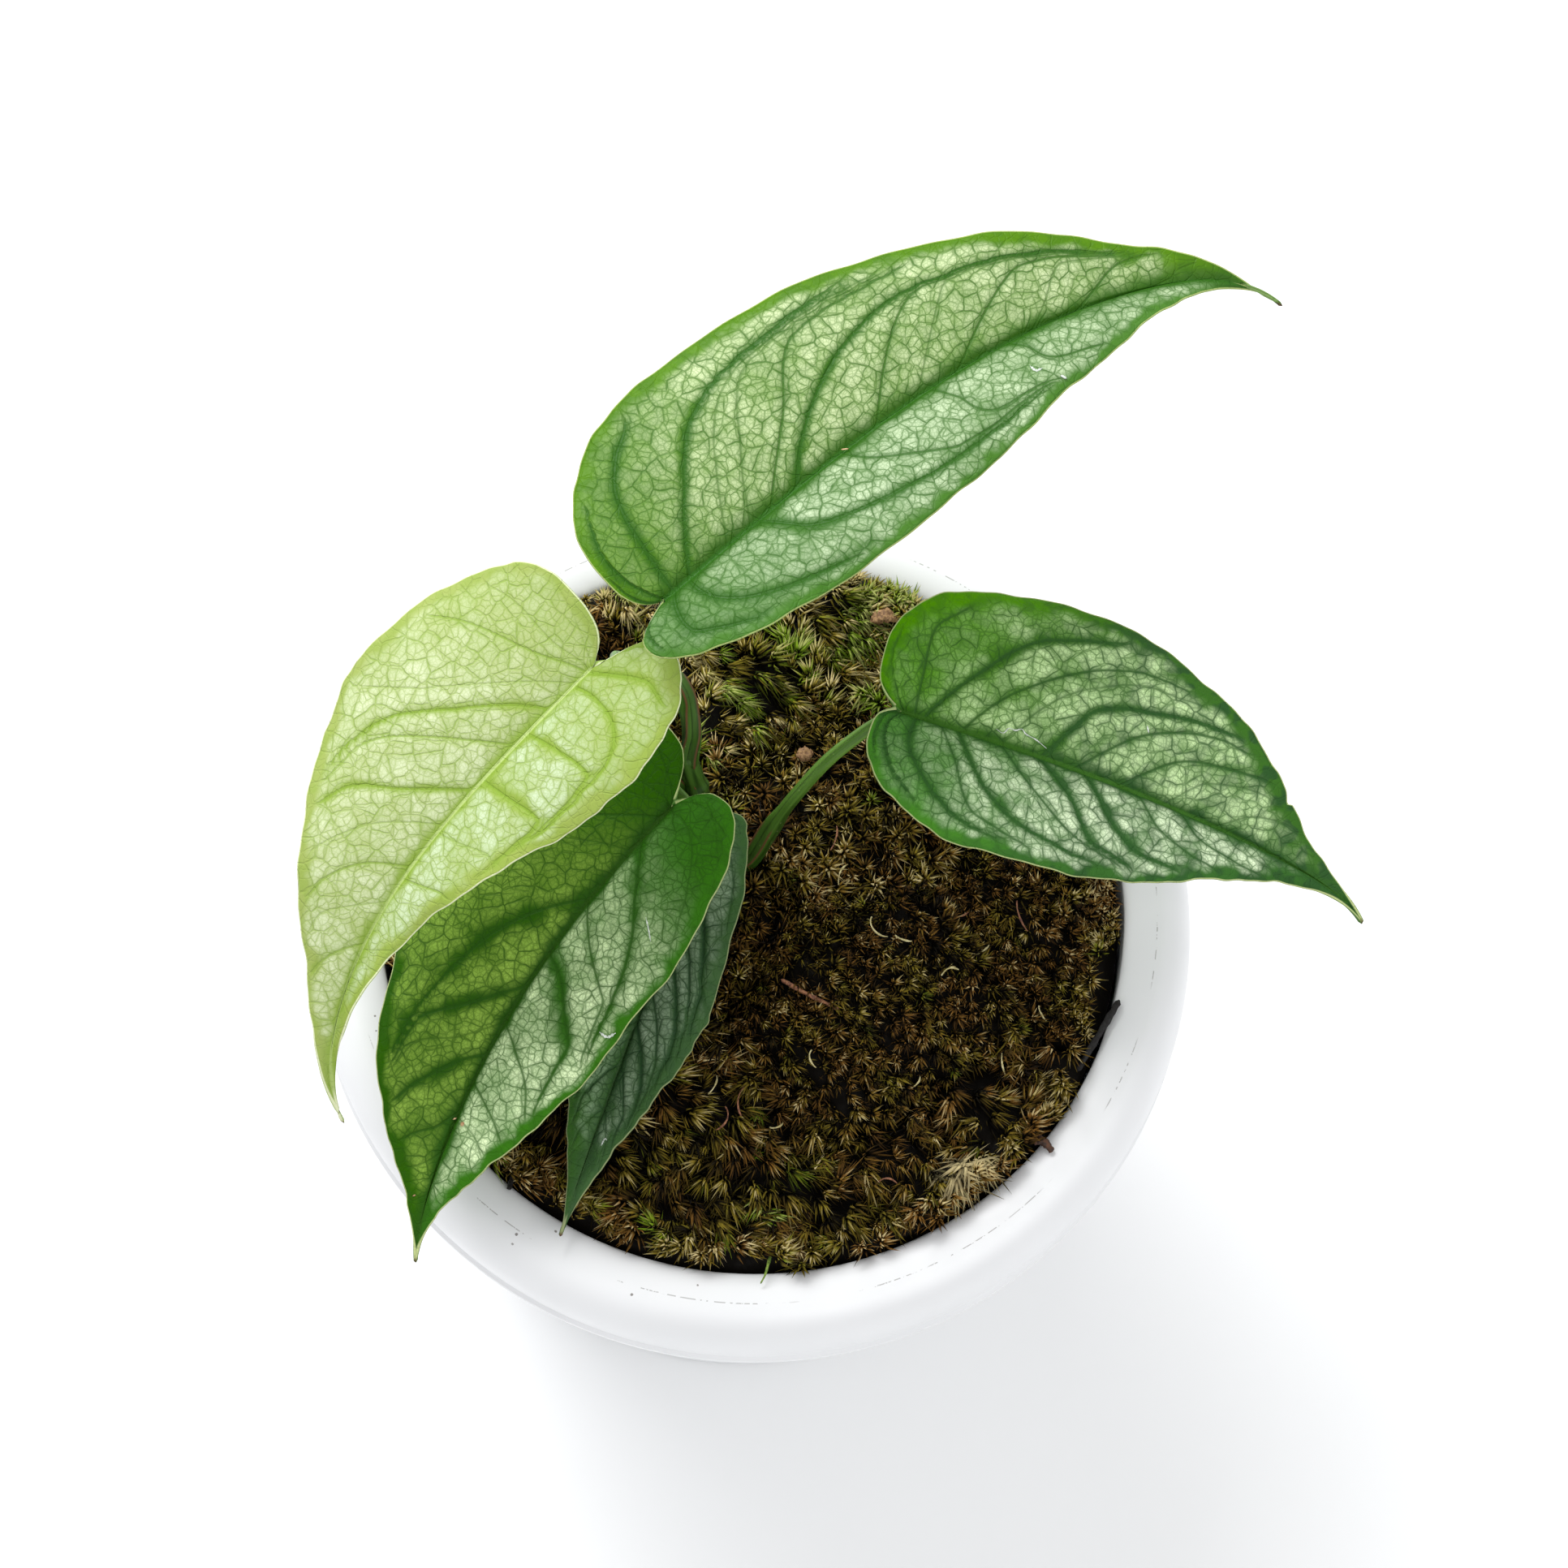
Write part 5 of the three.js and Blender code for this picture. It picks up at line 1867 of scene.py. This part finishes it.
    def fibres(self, shop: Workshop) -> None:
        """Scatters short curled fibres over the moss.

        Args:
            shop: where pieces are made.
        """
        rng = np.random.default_rng(self.FIBRE_SEED)
        middle = self.FIBRE_STEPS // 2
        share = np.linspace(-0.5, 0.5, self.FIBRE_STEPS)
        width = self.FIBRE_RADIUS * (1 - 1.2 * share[:, None] ** 2) * (0.8 + 0.2 * np.sin(9 * share[:, None]))
        for name, finish, spots in (("pale_fibres", self.pale, self.PALE_SPOTS),
                                    ("red_fibres", self.red, self.RED_SPOTS)):
            skins = []
            for x, y, angle, length, curl in spots:
                turn = angle + curl * share
                step = length / (self.FIBRE_STEPS - 1)
                px, py = x + np.cumsum(np.cos(turn)) * step, y + np.cumsum(np.sin(turn)) * step
                here = slice(middle, middle + 1)
                near = min(CUSHIONS, key=lambda cushion: math.hypot(px[middle] - cushion.x, py[middle] - cushion.y))
                level = float(near.surface(px[here], py[here], CUSHIONS)[0][0]) + self.FIBRE_LIFT
                path = np.stack([px, py, level + 0.5 * np.cos(share * 5) + rng.uniform(-0.2, 0.2)], 1)
                skins.append(tube(path, NEARLY_ABOVE, np.repeat(width, 6, axis=1)))
            shop.piece(name, Skin.joined(skins), finish)


WORKSHOP = Workshop()
STALK_GREEN = StalkFinish()
BARK_MIX = EarthFinish("bark_mix", "bark_mix", "0E0906", "35251A", 4.0)

MID_GREEN = LeafFinish("mid_green_blade", "leaf_mid_green", "507E0A", "447424", "D0DEAE", "C6D8B2", "2B5A14",
                       "2F6416", "A9B872", "7FA05A", silver=0.95, net=0.85, base_green=0.78, band=1.8, rib_band=2.6,
                       margins=(2.6, 1.8), panel=0.35, vein_dark=0.92)
PALE_GREEN = LeafFinish("pale_green_blade", "leaf_pale_green", "96AA50", "9CAE5C", "CEDEBE", "DAE4BE", "82A236",
                        "BCD084", "E0E6BC", "A9C070", silver=0.97, net=0.68, band=1.1, rib_band=1.6, base_green=0.5,
                        margins=(2.4, 2.0), panel=0.3)
# Leaf 3's right half has darker flesh and silver: partly its own colouring, partly painted shade where leaf 2 shadows
# its base.
SHADED_GREEN = LeafFinish("shaded_green_blade", "leaf_dark_green", "346E12", "2A5800", "ECFFCC", "94B64C", "254C12",
                          "2A4E12", "B4C084", "55793A", silver=0.97, net=0.78, base_green=1.0, margins=(2.2, 2.0),
                          band=2.0, unevenness=0.4, panel=0.62, vein_dark=0.75, rib_band=1.8, shine=0.05,
                          cell_rim=0.85, green_reach=0.34, band_share=0.55)
DEEP_GREEN = LeafFinish("deep_green_blade", "leaf_deep_green", "3C6030", "3E6A28", "B6CCAE", "A2BE9A", "264428",
                        "3A5A30", "8F9A6C", "4A6640", silver=0.85, net=0.85, band=1.2, vein_dark=0.45, panel=0.4,
                        base_green=0.6, margins=(2.6, 2.6))
MOTTLED_GREEN = LeafFinish("mottled_green_blade", "leaf_dark_green", "508E00", "468424", "D6F2B4", "E8FAD2", "2C5226",
                           "3C6A20", "B4C084", "55793A", silver=0.96, net=0.8, unevenness=0.6, base_green=0.8,
                           band=1.6, margins=(3.6, 2.4), panel=0.62, vein_dark=0.7, rib_band=2.2, fade=0.75, shine=0.06)

STRONG, MIDDLE, WEAK = 1.0, 0.6, 0.32
DEEP_VEINS = ((WEAK, 4.2, 4.8, 5.8, 7.2), (STRONG, 6.6, 7.7, 9.0, 10.6), (MIDDLE, 8.8, 9.4, 10.4, 11.8),
              (STRONG, 10.8, 11.0, 11.8, 13.2), (MIDDLE, 12.8, 12.8, 13.2, 14.4), (STRONG, 14.4, 14.2, 14.4, 15.2),
              (MIDDLE, 15.9, 15.6, 15.6, 16.2), (WEAK, 17.3, 17.0, 16.9, 17.2))

BLADES = [
    LeafBlade(
        1, MID_GREEN, (-18.2, 23.7, 198), 48.5, -41, 2.45, -40, 0, -16, -6, 120, 0.49, 0.18, -0.07, 4,
        Half(29.7, 5.1, 0.32, 0.19, 26, (
            (STRONG, 4.0, 5.1, 6.2, 7.6), (STRONG, 5.3, 7.45, 9.5, 11.5), (WEAK, 7.4, 8.7, 9.95, 12.2),
            (WEAK, 8.4, 9.4, 10.2, 12.3), (MIDDLE, 9.2, 10.45, 11.0, 12.6), (STRONG, 10.1, 11.2, 13.0, 16.0),
            (MIDDLE, 12.6, 12.8, 13.2, 16.2), (WEAK, 13.7, 13.7, 13.7, 16.4), (MIDDLE, 14.7, 14.8, 15.0, 16.6),
            (WEAK, 16.4, 16.1, 15.8, 16.8), (MIDDLE, 17.3, 17.1, 16.9, 17.2), (WEAK, 18.7, 18.6, 18.3, 18.3))),
        Half(19, 8, 0.3, 0.31, 26, (
            (STRONG, 4.0, 4.3, 4.8, 6.0), (STRONG, 5.2, 5.6, 6.7, 7.9), (STRONG, 8.6, 8.55, 9.9, 12.4),
            (MIDDLE, 11.5, 10.9, 11.1, 12.8), (MIDDLE, 14.0, 13.05, 12.25, 13.1), (MIDDLE, 15.8, 15.0, 14.2, 14.6),
            (WEAK, 18.0, 17.3, 16.6, 16.3))),
        marks=(Mark(((13.87, -0.6), (13.63, -0.68), (13.71, -0.7)), 0.6),
               Mark(((13.39, -0.86), (13.26, -0.92)), 0.6), Mark(((11.55, 0.01), (11.6, -0.03)), 0.35, True))),
    LeafBlade(
        2, PALE_GREEN, (-28.6, 15.6, 186), 227.3, 59, 2.6, 28, -22, -30, 6, 92, 0.23, 0.43, 0.02, 3,
        Half(19.4, 12, 0.38, 0.08, 26, (
            (STRONG, 3.6, 4.45, 5.0, 5.8), (STRONG, 5.2, 6.2, 7.9, 12.5), (STRONG, 8.5, 8.75, 9.2, 12.6),
            (STRONG, 10.8, 11.05, 11.3, 12.75), (WEAK, 12.9, 13.0, 13.0, 13.2), (MIDDLE, 14.5, 14.55, 14.6, 14.7),
            (WEAK, 16.6, 16.6, 16.6, 16.6))),
        Half(28.8, 6.5, 0.45, 0.26, 26, (
            (WEAK, 2.6, 4.95, 5.5, 5.9), (MIDDLE, 3.4, 5.95, 7.0, 7.5), (WEAK, 4.9, 7.9, 9.5, 10.0),
            (STRONG, 7.0, 8.9, 10.9, 12.2), (MIDDLE, 9.1, 10.25, 11.4, 12.6), (STRONG, 11.2, 12.15, 12.75, 13.3),
            (WEAK, 12.6, 13.2, 14.0, 14.4), (MIDDLE, 14.1, 14.35, 15.0, 15.4), (WEAK, 15.2, 15.5, 15.8, 16.2),
            (MIDDLE, 16.4, 16.6, 16.9, 17.1))), groove=-0.2),
    LeafBlade(
        3, SHADED_GREEN, (-14.9, 6.1, 150), 231.3, 31.5, 1.27, 10, -12, -10, 6, 86.4, 0.65, 0.25, 0.07, 3,
        Half(19.6, 6.6, 0.37, 0.29, 26, (
            (WEAK, 3.6, 4.6, 6.6, 8.0), (STRONG, 6.6, 8.3, 9.6, 11.0), (MIDDLE, 10.2, 10.35, 10.3, 11.3),
            (STRONG, 12.4, 11.7, 11.75, 13.2), (MIDDLE, 14.8, 14.05, 13.6, 13.7), (MIDDLE, 16.6, 15.85, 15.1, 14.9),
            (WEAK, 17.5, 16.8, 16.0, 15.8))),
        Half(26, 9.2, 0.38, 0.2, 16, (
            (MIDDLE, 4.6, 7.6, 8.8, 9.5), (WEAK, 7.4, 8.7, 9.8, 10.6), (STRONG, 10.1, 11.4, 13.2, 14.2),
            (STRONG, 13.6, 13.7, 13.6, 14.4), (WEAK, 14.8, 14.7, 14.3, 14.6), (STRONG, 15.8, 15.45, 15.4, 15.5),
            (MIDDLE, 17.4, 17.3, 16.9, 16.8), (WEAK, 18.4, 18.2, 17.9, 17.7))),
        marks=(Mark(((17.5, -0.05), (17.58, -0.02)), 1.0, True), Mark(((16.96, 0.28), (17.04, 0.3)), 0.9, True),
               Mark(((18.8, -0.75), (18.87, -0.73)), 0.8, True),
               Mark(((10.67, 0.85), (10.51, 0.92), (10.27, 0.95)), 0.6),
               Mark(((8.59, 0.7), (8.45, 0.62), (8.35, 0.55)), 0.35))),
    LeafBlade(
        4, DEEP_GREEN, (-9, 9.4, 134), 256.3, 0, 1.2, 2, -6, -5, 4, 73.2, 0.29, 0.25, 0.07, 2,
        Half(11.7, 2.6, 0.4, 0.42, 26, DEEP_VEINS), Half(13, 2.4, 0.35, 0.36, 12, DEEP_VEINS),
        marks=(Mark(((16.82, 0.68), (17.0, 0.6), (17.3, 0.59)), 0.4),)),
    LeafBlade(
        5, MOTTLED_GREEN, (20.7, 23, 160), -10.8, -10, 1.6, -28, -5, -20, -5, 85, 0.54, 0.38, 0.11, 3,
        Half(26.6, 5.6, 0.38, 0.27, 26, (
            (MIDDLE, 4.4, 5.0, 5.4, 6.4), (STRONG, 5.2, 7.2, 8.7, 10.0), (MIDDLE, 7.6, 8.9, 10.6, 12.0),
            (WEAK, 9.4, 9.9, 11.4, 12.8), (STRONG, 11.0, 11.0, 12.9, 14.0), (MIDDLE, 12.2, 12.5, 13.6, 14.6),
            (MIDDLE, 13.7, 13.9, 15.1, 15.8), (WEAK, 15.1, 15.0, 16.0, 16.6), (WEAK, 16.6, 16.6, 17.2, 17.6)),
            (16.5, 1.1)),
        Half(20.7, 4.2, 0.37, 0.21, 26, (
            (STRONG, 4.7, 5.2, 7.2, 9.0), (MIDDLE, 6.4, 7.7, 8.6, 9.8), (STRONG, 7.4, 8.45, 9.8, 11.4),
            (MIDDLE, 9.4, 10.3, 11.4, 12.3), (STRONG, 10.9, 11.55, 11.7, 12.6), (STRONG, 12.6, 12.6, 13.0, 14.0),
            (MIDDLE, 14.3, 14.2, 14.8, 15.4), (MIDDLE, 15.6, 15.5, 16.4, 17.0), (WEAK, 17.2, 17.2, 17.6, 18.0))),
        marks=(Mark(((8.91, 0.07), (9.23, 0.06), (9.31, 0.1), (9.55, 0.1), (9.71, 0.12), (9.95, 0.1),
                     (10.35, 0.09), (10.91, 0.06)), 0.28), Mark(((12.67, 0.46), (12.43, 0.5)), 0.35))),
]

STALK_POINTS = [
    ((-13.1, 18, 138.8), (-13, 20.8, 146), (-14.4, 23.4, 153.5), (-18.5, 24.4, 168), (-20, 22.8, 182)),
    ((-11.8, 16.5, 132.5), (-16.2, 19.8, 138.5), (-19.4, 23, 146), (-21.4, 25.4, 154), (-25.4, 23.6, 170)),
    ((-10.4, 14.9, 126), (-14.8, 15, 131.5), (-17.2, 15.4, 138), (-16.6, 12.4, 143.5)),
    ((-9, 13.2, 118), (-6.8, 12.4, 122.5), (-6.6, 11.6, 126)),
    ((-7.5, 10.7, 109), (-3.4, 8.6, 112.5), (-1.6, 8.4, 117.5), (1.6, 11.3, 128), (5.1, 14.1, 138), (11, 18.5, 149)),
]

# The ninth value is the light factor: the back cushions 5, 6 and 10 are brightened with it as painted light.
CUSHIONS = [
    MossCushion(1, 22, -15, 116.4, 122.4, Growth.FINE, 0.24, -0.7, tufts=((5.2, -40.5, 0.84, 0.9),)),
    MossCushion(2, -10, -44, 116.8, 119.6, Growth.SWEPT, 0.34, -1.2, tufts=((5.2, -51.4, 0.82, 1.0),)),
    MossCushion(3, -42, -18, 115.6, 118.6, Growth.SWEPT, 0.3, 2.4),
    MossCushion(4, -38, 24, 116.2, 119.4, Growth.STAR, 0.24, 0.4, 1.05),
    MossCushion(5, -4, 47, 116.8, 120.6, Growth.SWEPT, 0.6, 0.6, 1.8,
                ((10.7, 49.6, 0.84, 1.2), (11.6, 53.6, 0.82, 1.1))),
    MossCushion(6, 33, 43, 116.4, 119.8, Growth.STAR, 0.52, 0.2, 1.8,
                ((15.8, 56.2, 0.84, 1.25), (20.6, 57.0, 0.8, 1.1))),
    MossCushion(7, 53, 8, 114.2, 117.2, Growth.FINE, 0.24, 0.3, 1.1),
    MossCushion(8, 43, -42, 116.8, 119.2, Growth.SWEPT, 0.26, -0.6,
                tufts=((38.3, -41.5, 1.0, 1.55), (35.2, -42.6, 0.97, 1.3), (41.4, -40.2, 0.98, 1.2))),
    MossCushion(9, -12, 0, 114.6, 117.4, Growth.STAR, 0.2, 0.0, 1.05),
    MossCushion(10, 12, 22, 115.4, 119.4, Growth.STAR, 0.28, 0.8, 1.35),
]


@dataclass(frozen=True)
class Studio:
    """The floor, the soft light and the camera."""

    camera_place: Point = (3.0, -211.2, 820.7)
    elevation: float = 71.6
    turn: float = 5.77
    focal_pixels: float = 5331.0
    image_pixels: float = 1932.0
    sensor: float = 36.0
    clip: Span = (0.05, 20.0)
    floor_size: float = 4000.0
    floor_drop: float = 0.2
    floor_colours: Tuple[str, str] = ("F4F5F6", "F6F7F8")
    sky: float = 0.75
    aim: Point = (0.0, 0.0, 140.0)
    lamps: Tuple[Tuple[str, Point, float, float], ...] = (
        ("key", (-420, 620, 900), 700, 11.0), ("fill", (500, -500, 1000), 900, 3.0))

    def floor(self) -> None:
        """Lays the plain pale floor."""
        edge = self.floor_size / 2
        corners = np.array([[-edge, -edge], [edge, -edge], [edge, edge], [-edge, edge]], float)
        points = np.column_stack([corners, np.full(4, -self.floor_drop)])
        mesh = WORKSHOP.mesh("floor", Skin(points, np.array([[0, 1, 2], [0, 2, 3]])))
        graph = Surface("pale_floor")
        graph.show(Base_Color=graph.blend(graph.mottle(graph.place(), 600.0, 1.0), *self.floor_colours), Roughness=0.9)
        mesh.materials.append(graph.material)
        new_object("floor", mesh)

    def lamp(self, name: str, place: Point, size: float, watts: float) -> None:
        """Hangs a square soft light that faces the plant.

        Args:
            name: the light's name.
            place: where it hangs, in millimetres.
            size: its edge, in millimetres.
            watts: its power.
        """
        light = bpy.data.lights.new(name, "AREA")
        light.size, light.energy = size * MM, watts
        back = unit(np.array(place) - np.array(self.aim))
        right = unit(np.cross(np.array([0.0, 1.0, 0.001]), back))
        new_object(name, light).matrix_world = self.matrix(right, np.cross(back, right), back, place)

    @staticmethod
    def matrix(right: Array, up: Array, back: Array, place: Sequence[float]) -> Matrix:
        """Gives the matrix, in metres, of something that looks away from its back and stands at a place."""
        return Matrix([[right[k], up[k], back[k], place[k] * MM] for k in range(3)] + [[0, 0, 0, 1]])

    def light(self) -> None:
        """Sets the soft studio light and the way it is shown."""
        world = bpy.data.worlds.new("studio")
        world.use_nodes = True
        sky = world.node_tree.nodes["Background"]
        sky.inputs["Color"].default_value = (1.0, 1.0, 1.0, 1.0)
        sky.inputs["Strength"].default_value = self.sky
        scene = bpy.context.scene
        scene.world = world
        scene.view_settings.view_transform = "Standard"
        for lamp in self.lamps:
            self.lamp(*lamp)

    def camera(self) -> None:
        """Puts the camera where the photograph was taken from."""
        lift, turn = math.radians(self.elevation), math.radians(self.turn)
        back = np.array([0.0, -math.cos(lift), math.sin(lift)])
        east = np.array([1.0, 0.0, 0.0])
        up = np.cross(back, east)
        right = math.cos(turn) * east + math.sin(turn) * up
        data = bpy.data.cameras.new("camera")
        data.sensor_width = self.sensor
        data.lens = self.focal_pixels / self.image_pixels * self.sensor
        data.clip_start, data.clip_end = self.clip
        obj = new_object("camera", data)
        obj.matrix_world = self.matrix(right, np.cross(back, right), back, self.camera_place)
        bpy.context.scene.camera = obj

    def build(self) -> None:
        """Makes the floor, lights and camera."""
        self.floor()
        self.light()
        self.camera()


def main() -> None:
    """Builds the plant from the ground up and reports each piece."""
    Studio().build()
    Pot(PlasticFinish()).build(WORKSHOP)
    mix_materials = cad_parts["potting_mix"].data.materials
    mix_materials.clear()
    mix_materials.append(WORKSHOP.material(BARK_MIX))
    for cushion in CUSHIONS:
        cushion.build(WORKSHOP, CUSHIONS)
    Stem(STALK_GREEN).build(WORKSHOP)
    for blade, points in zip(BLADES, STALK_POINTS):
        LeafStalk(blade, points, STALK_GREEN).build(WORKSHOP)
        blade.build(WORKSHOP)
    Litter().build(WORKSHOP)
    log.info("all pieces: %d triangles", WORKSHOP.triangles)


if __name__ == "__main__":
    main()
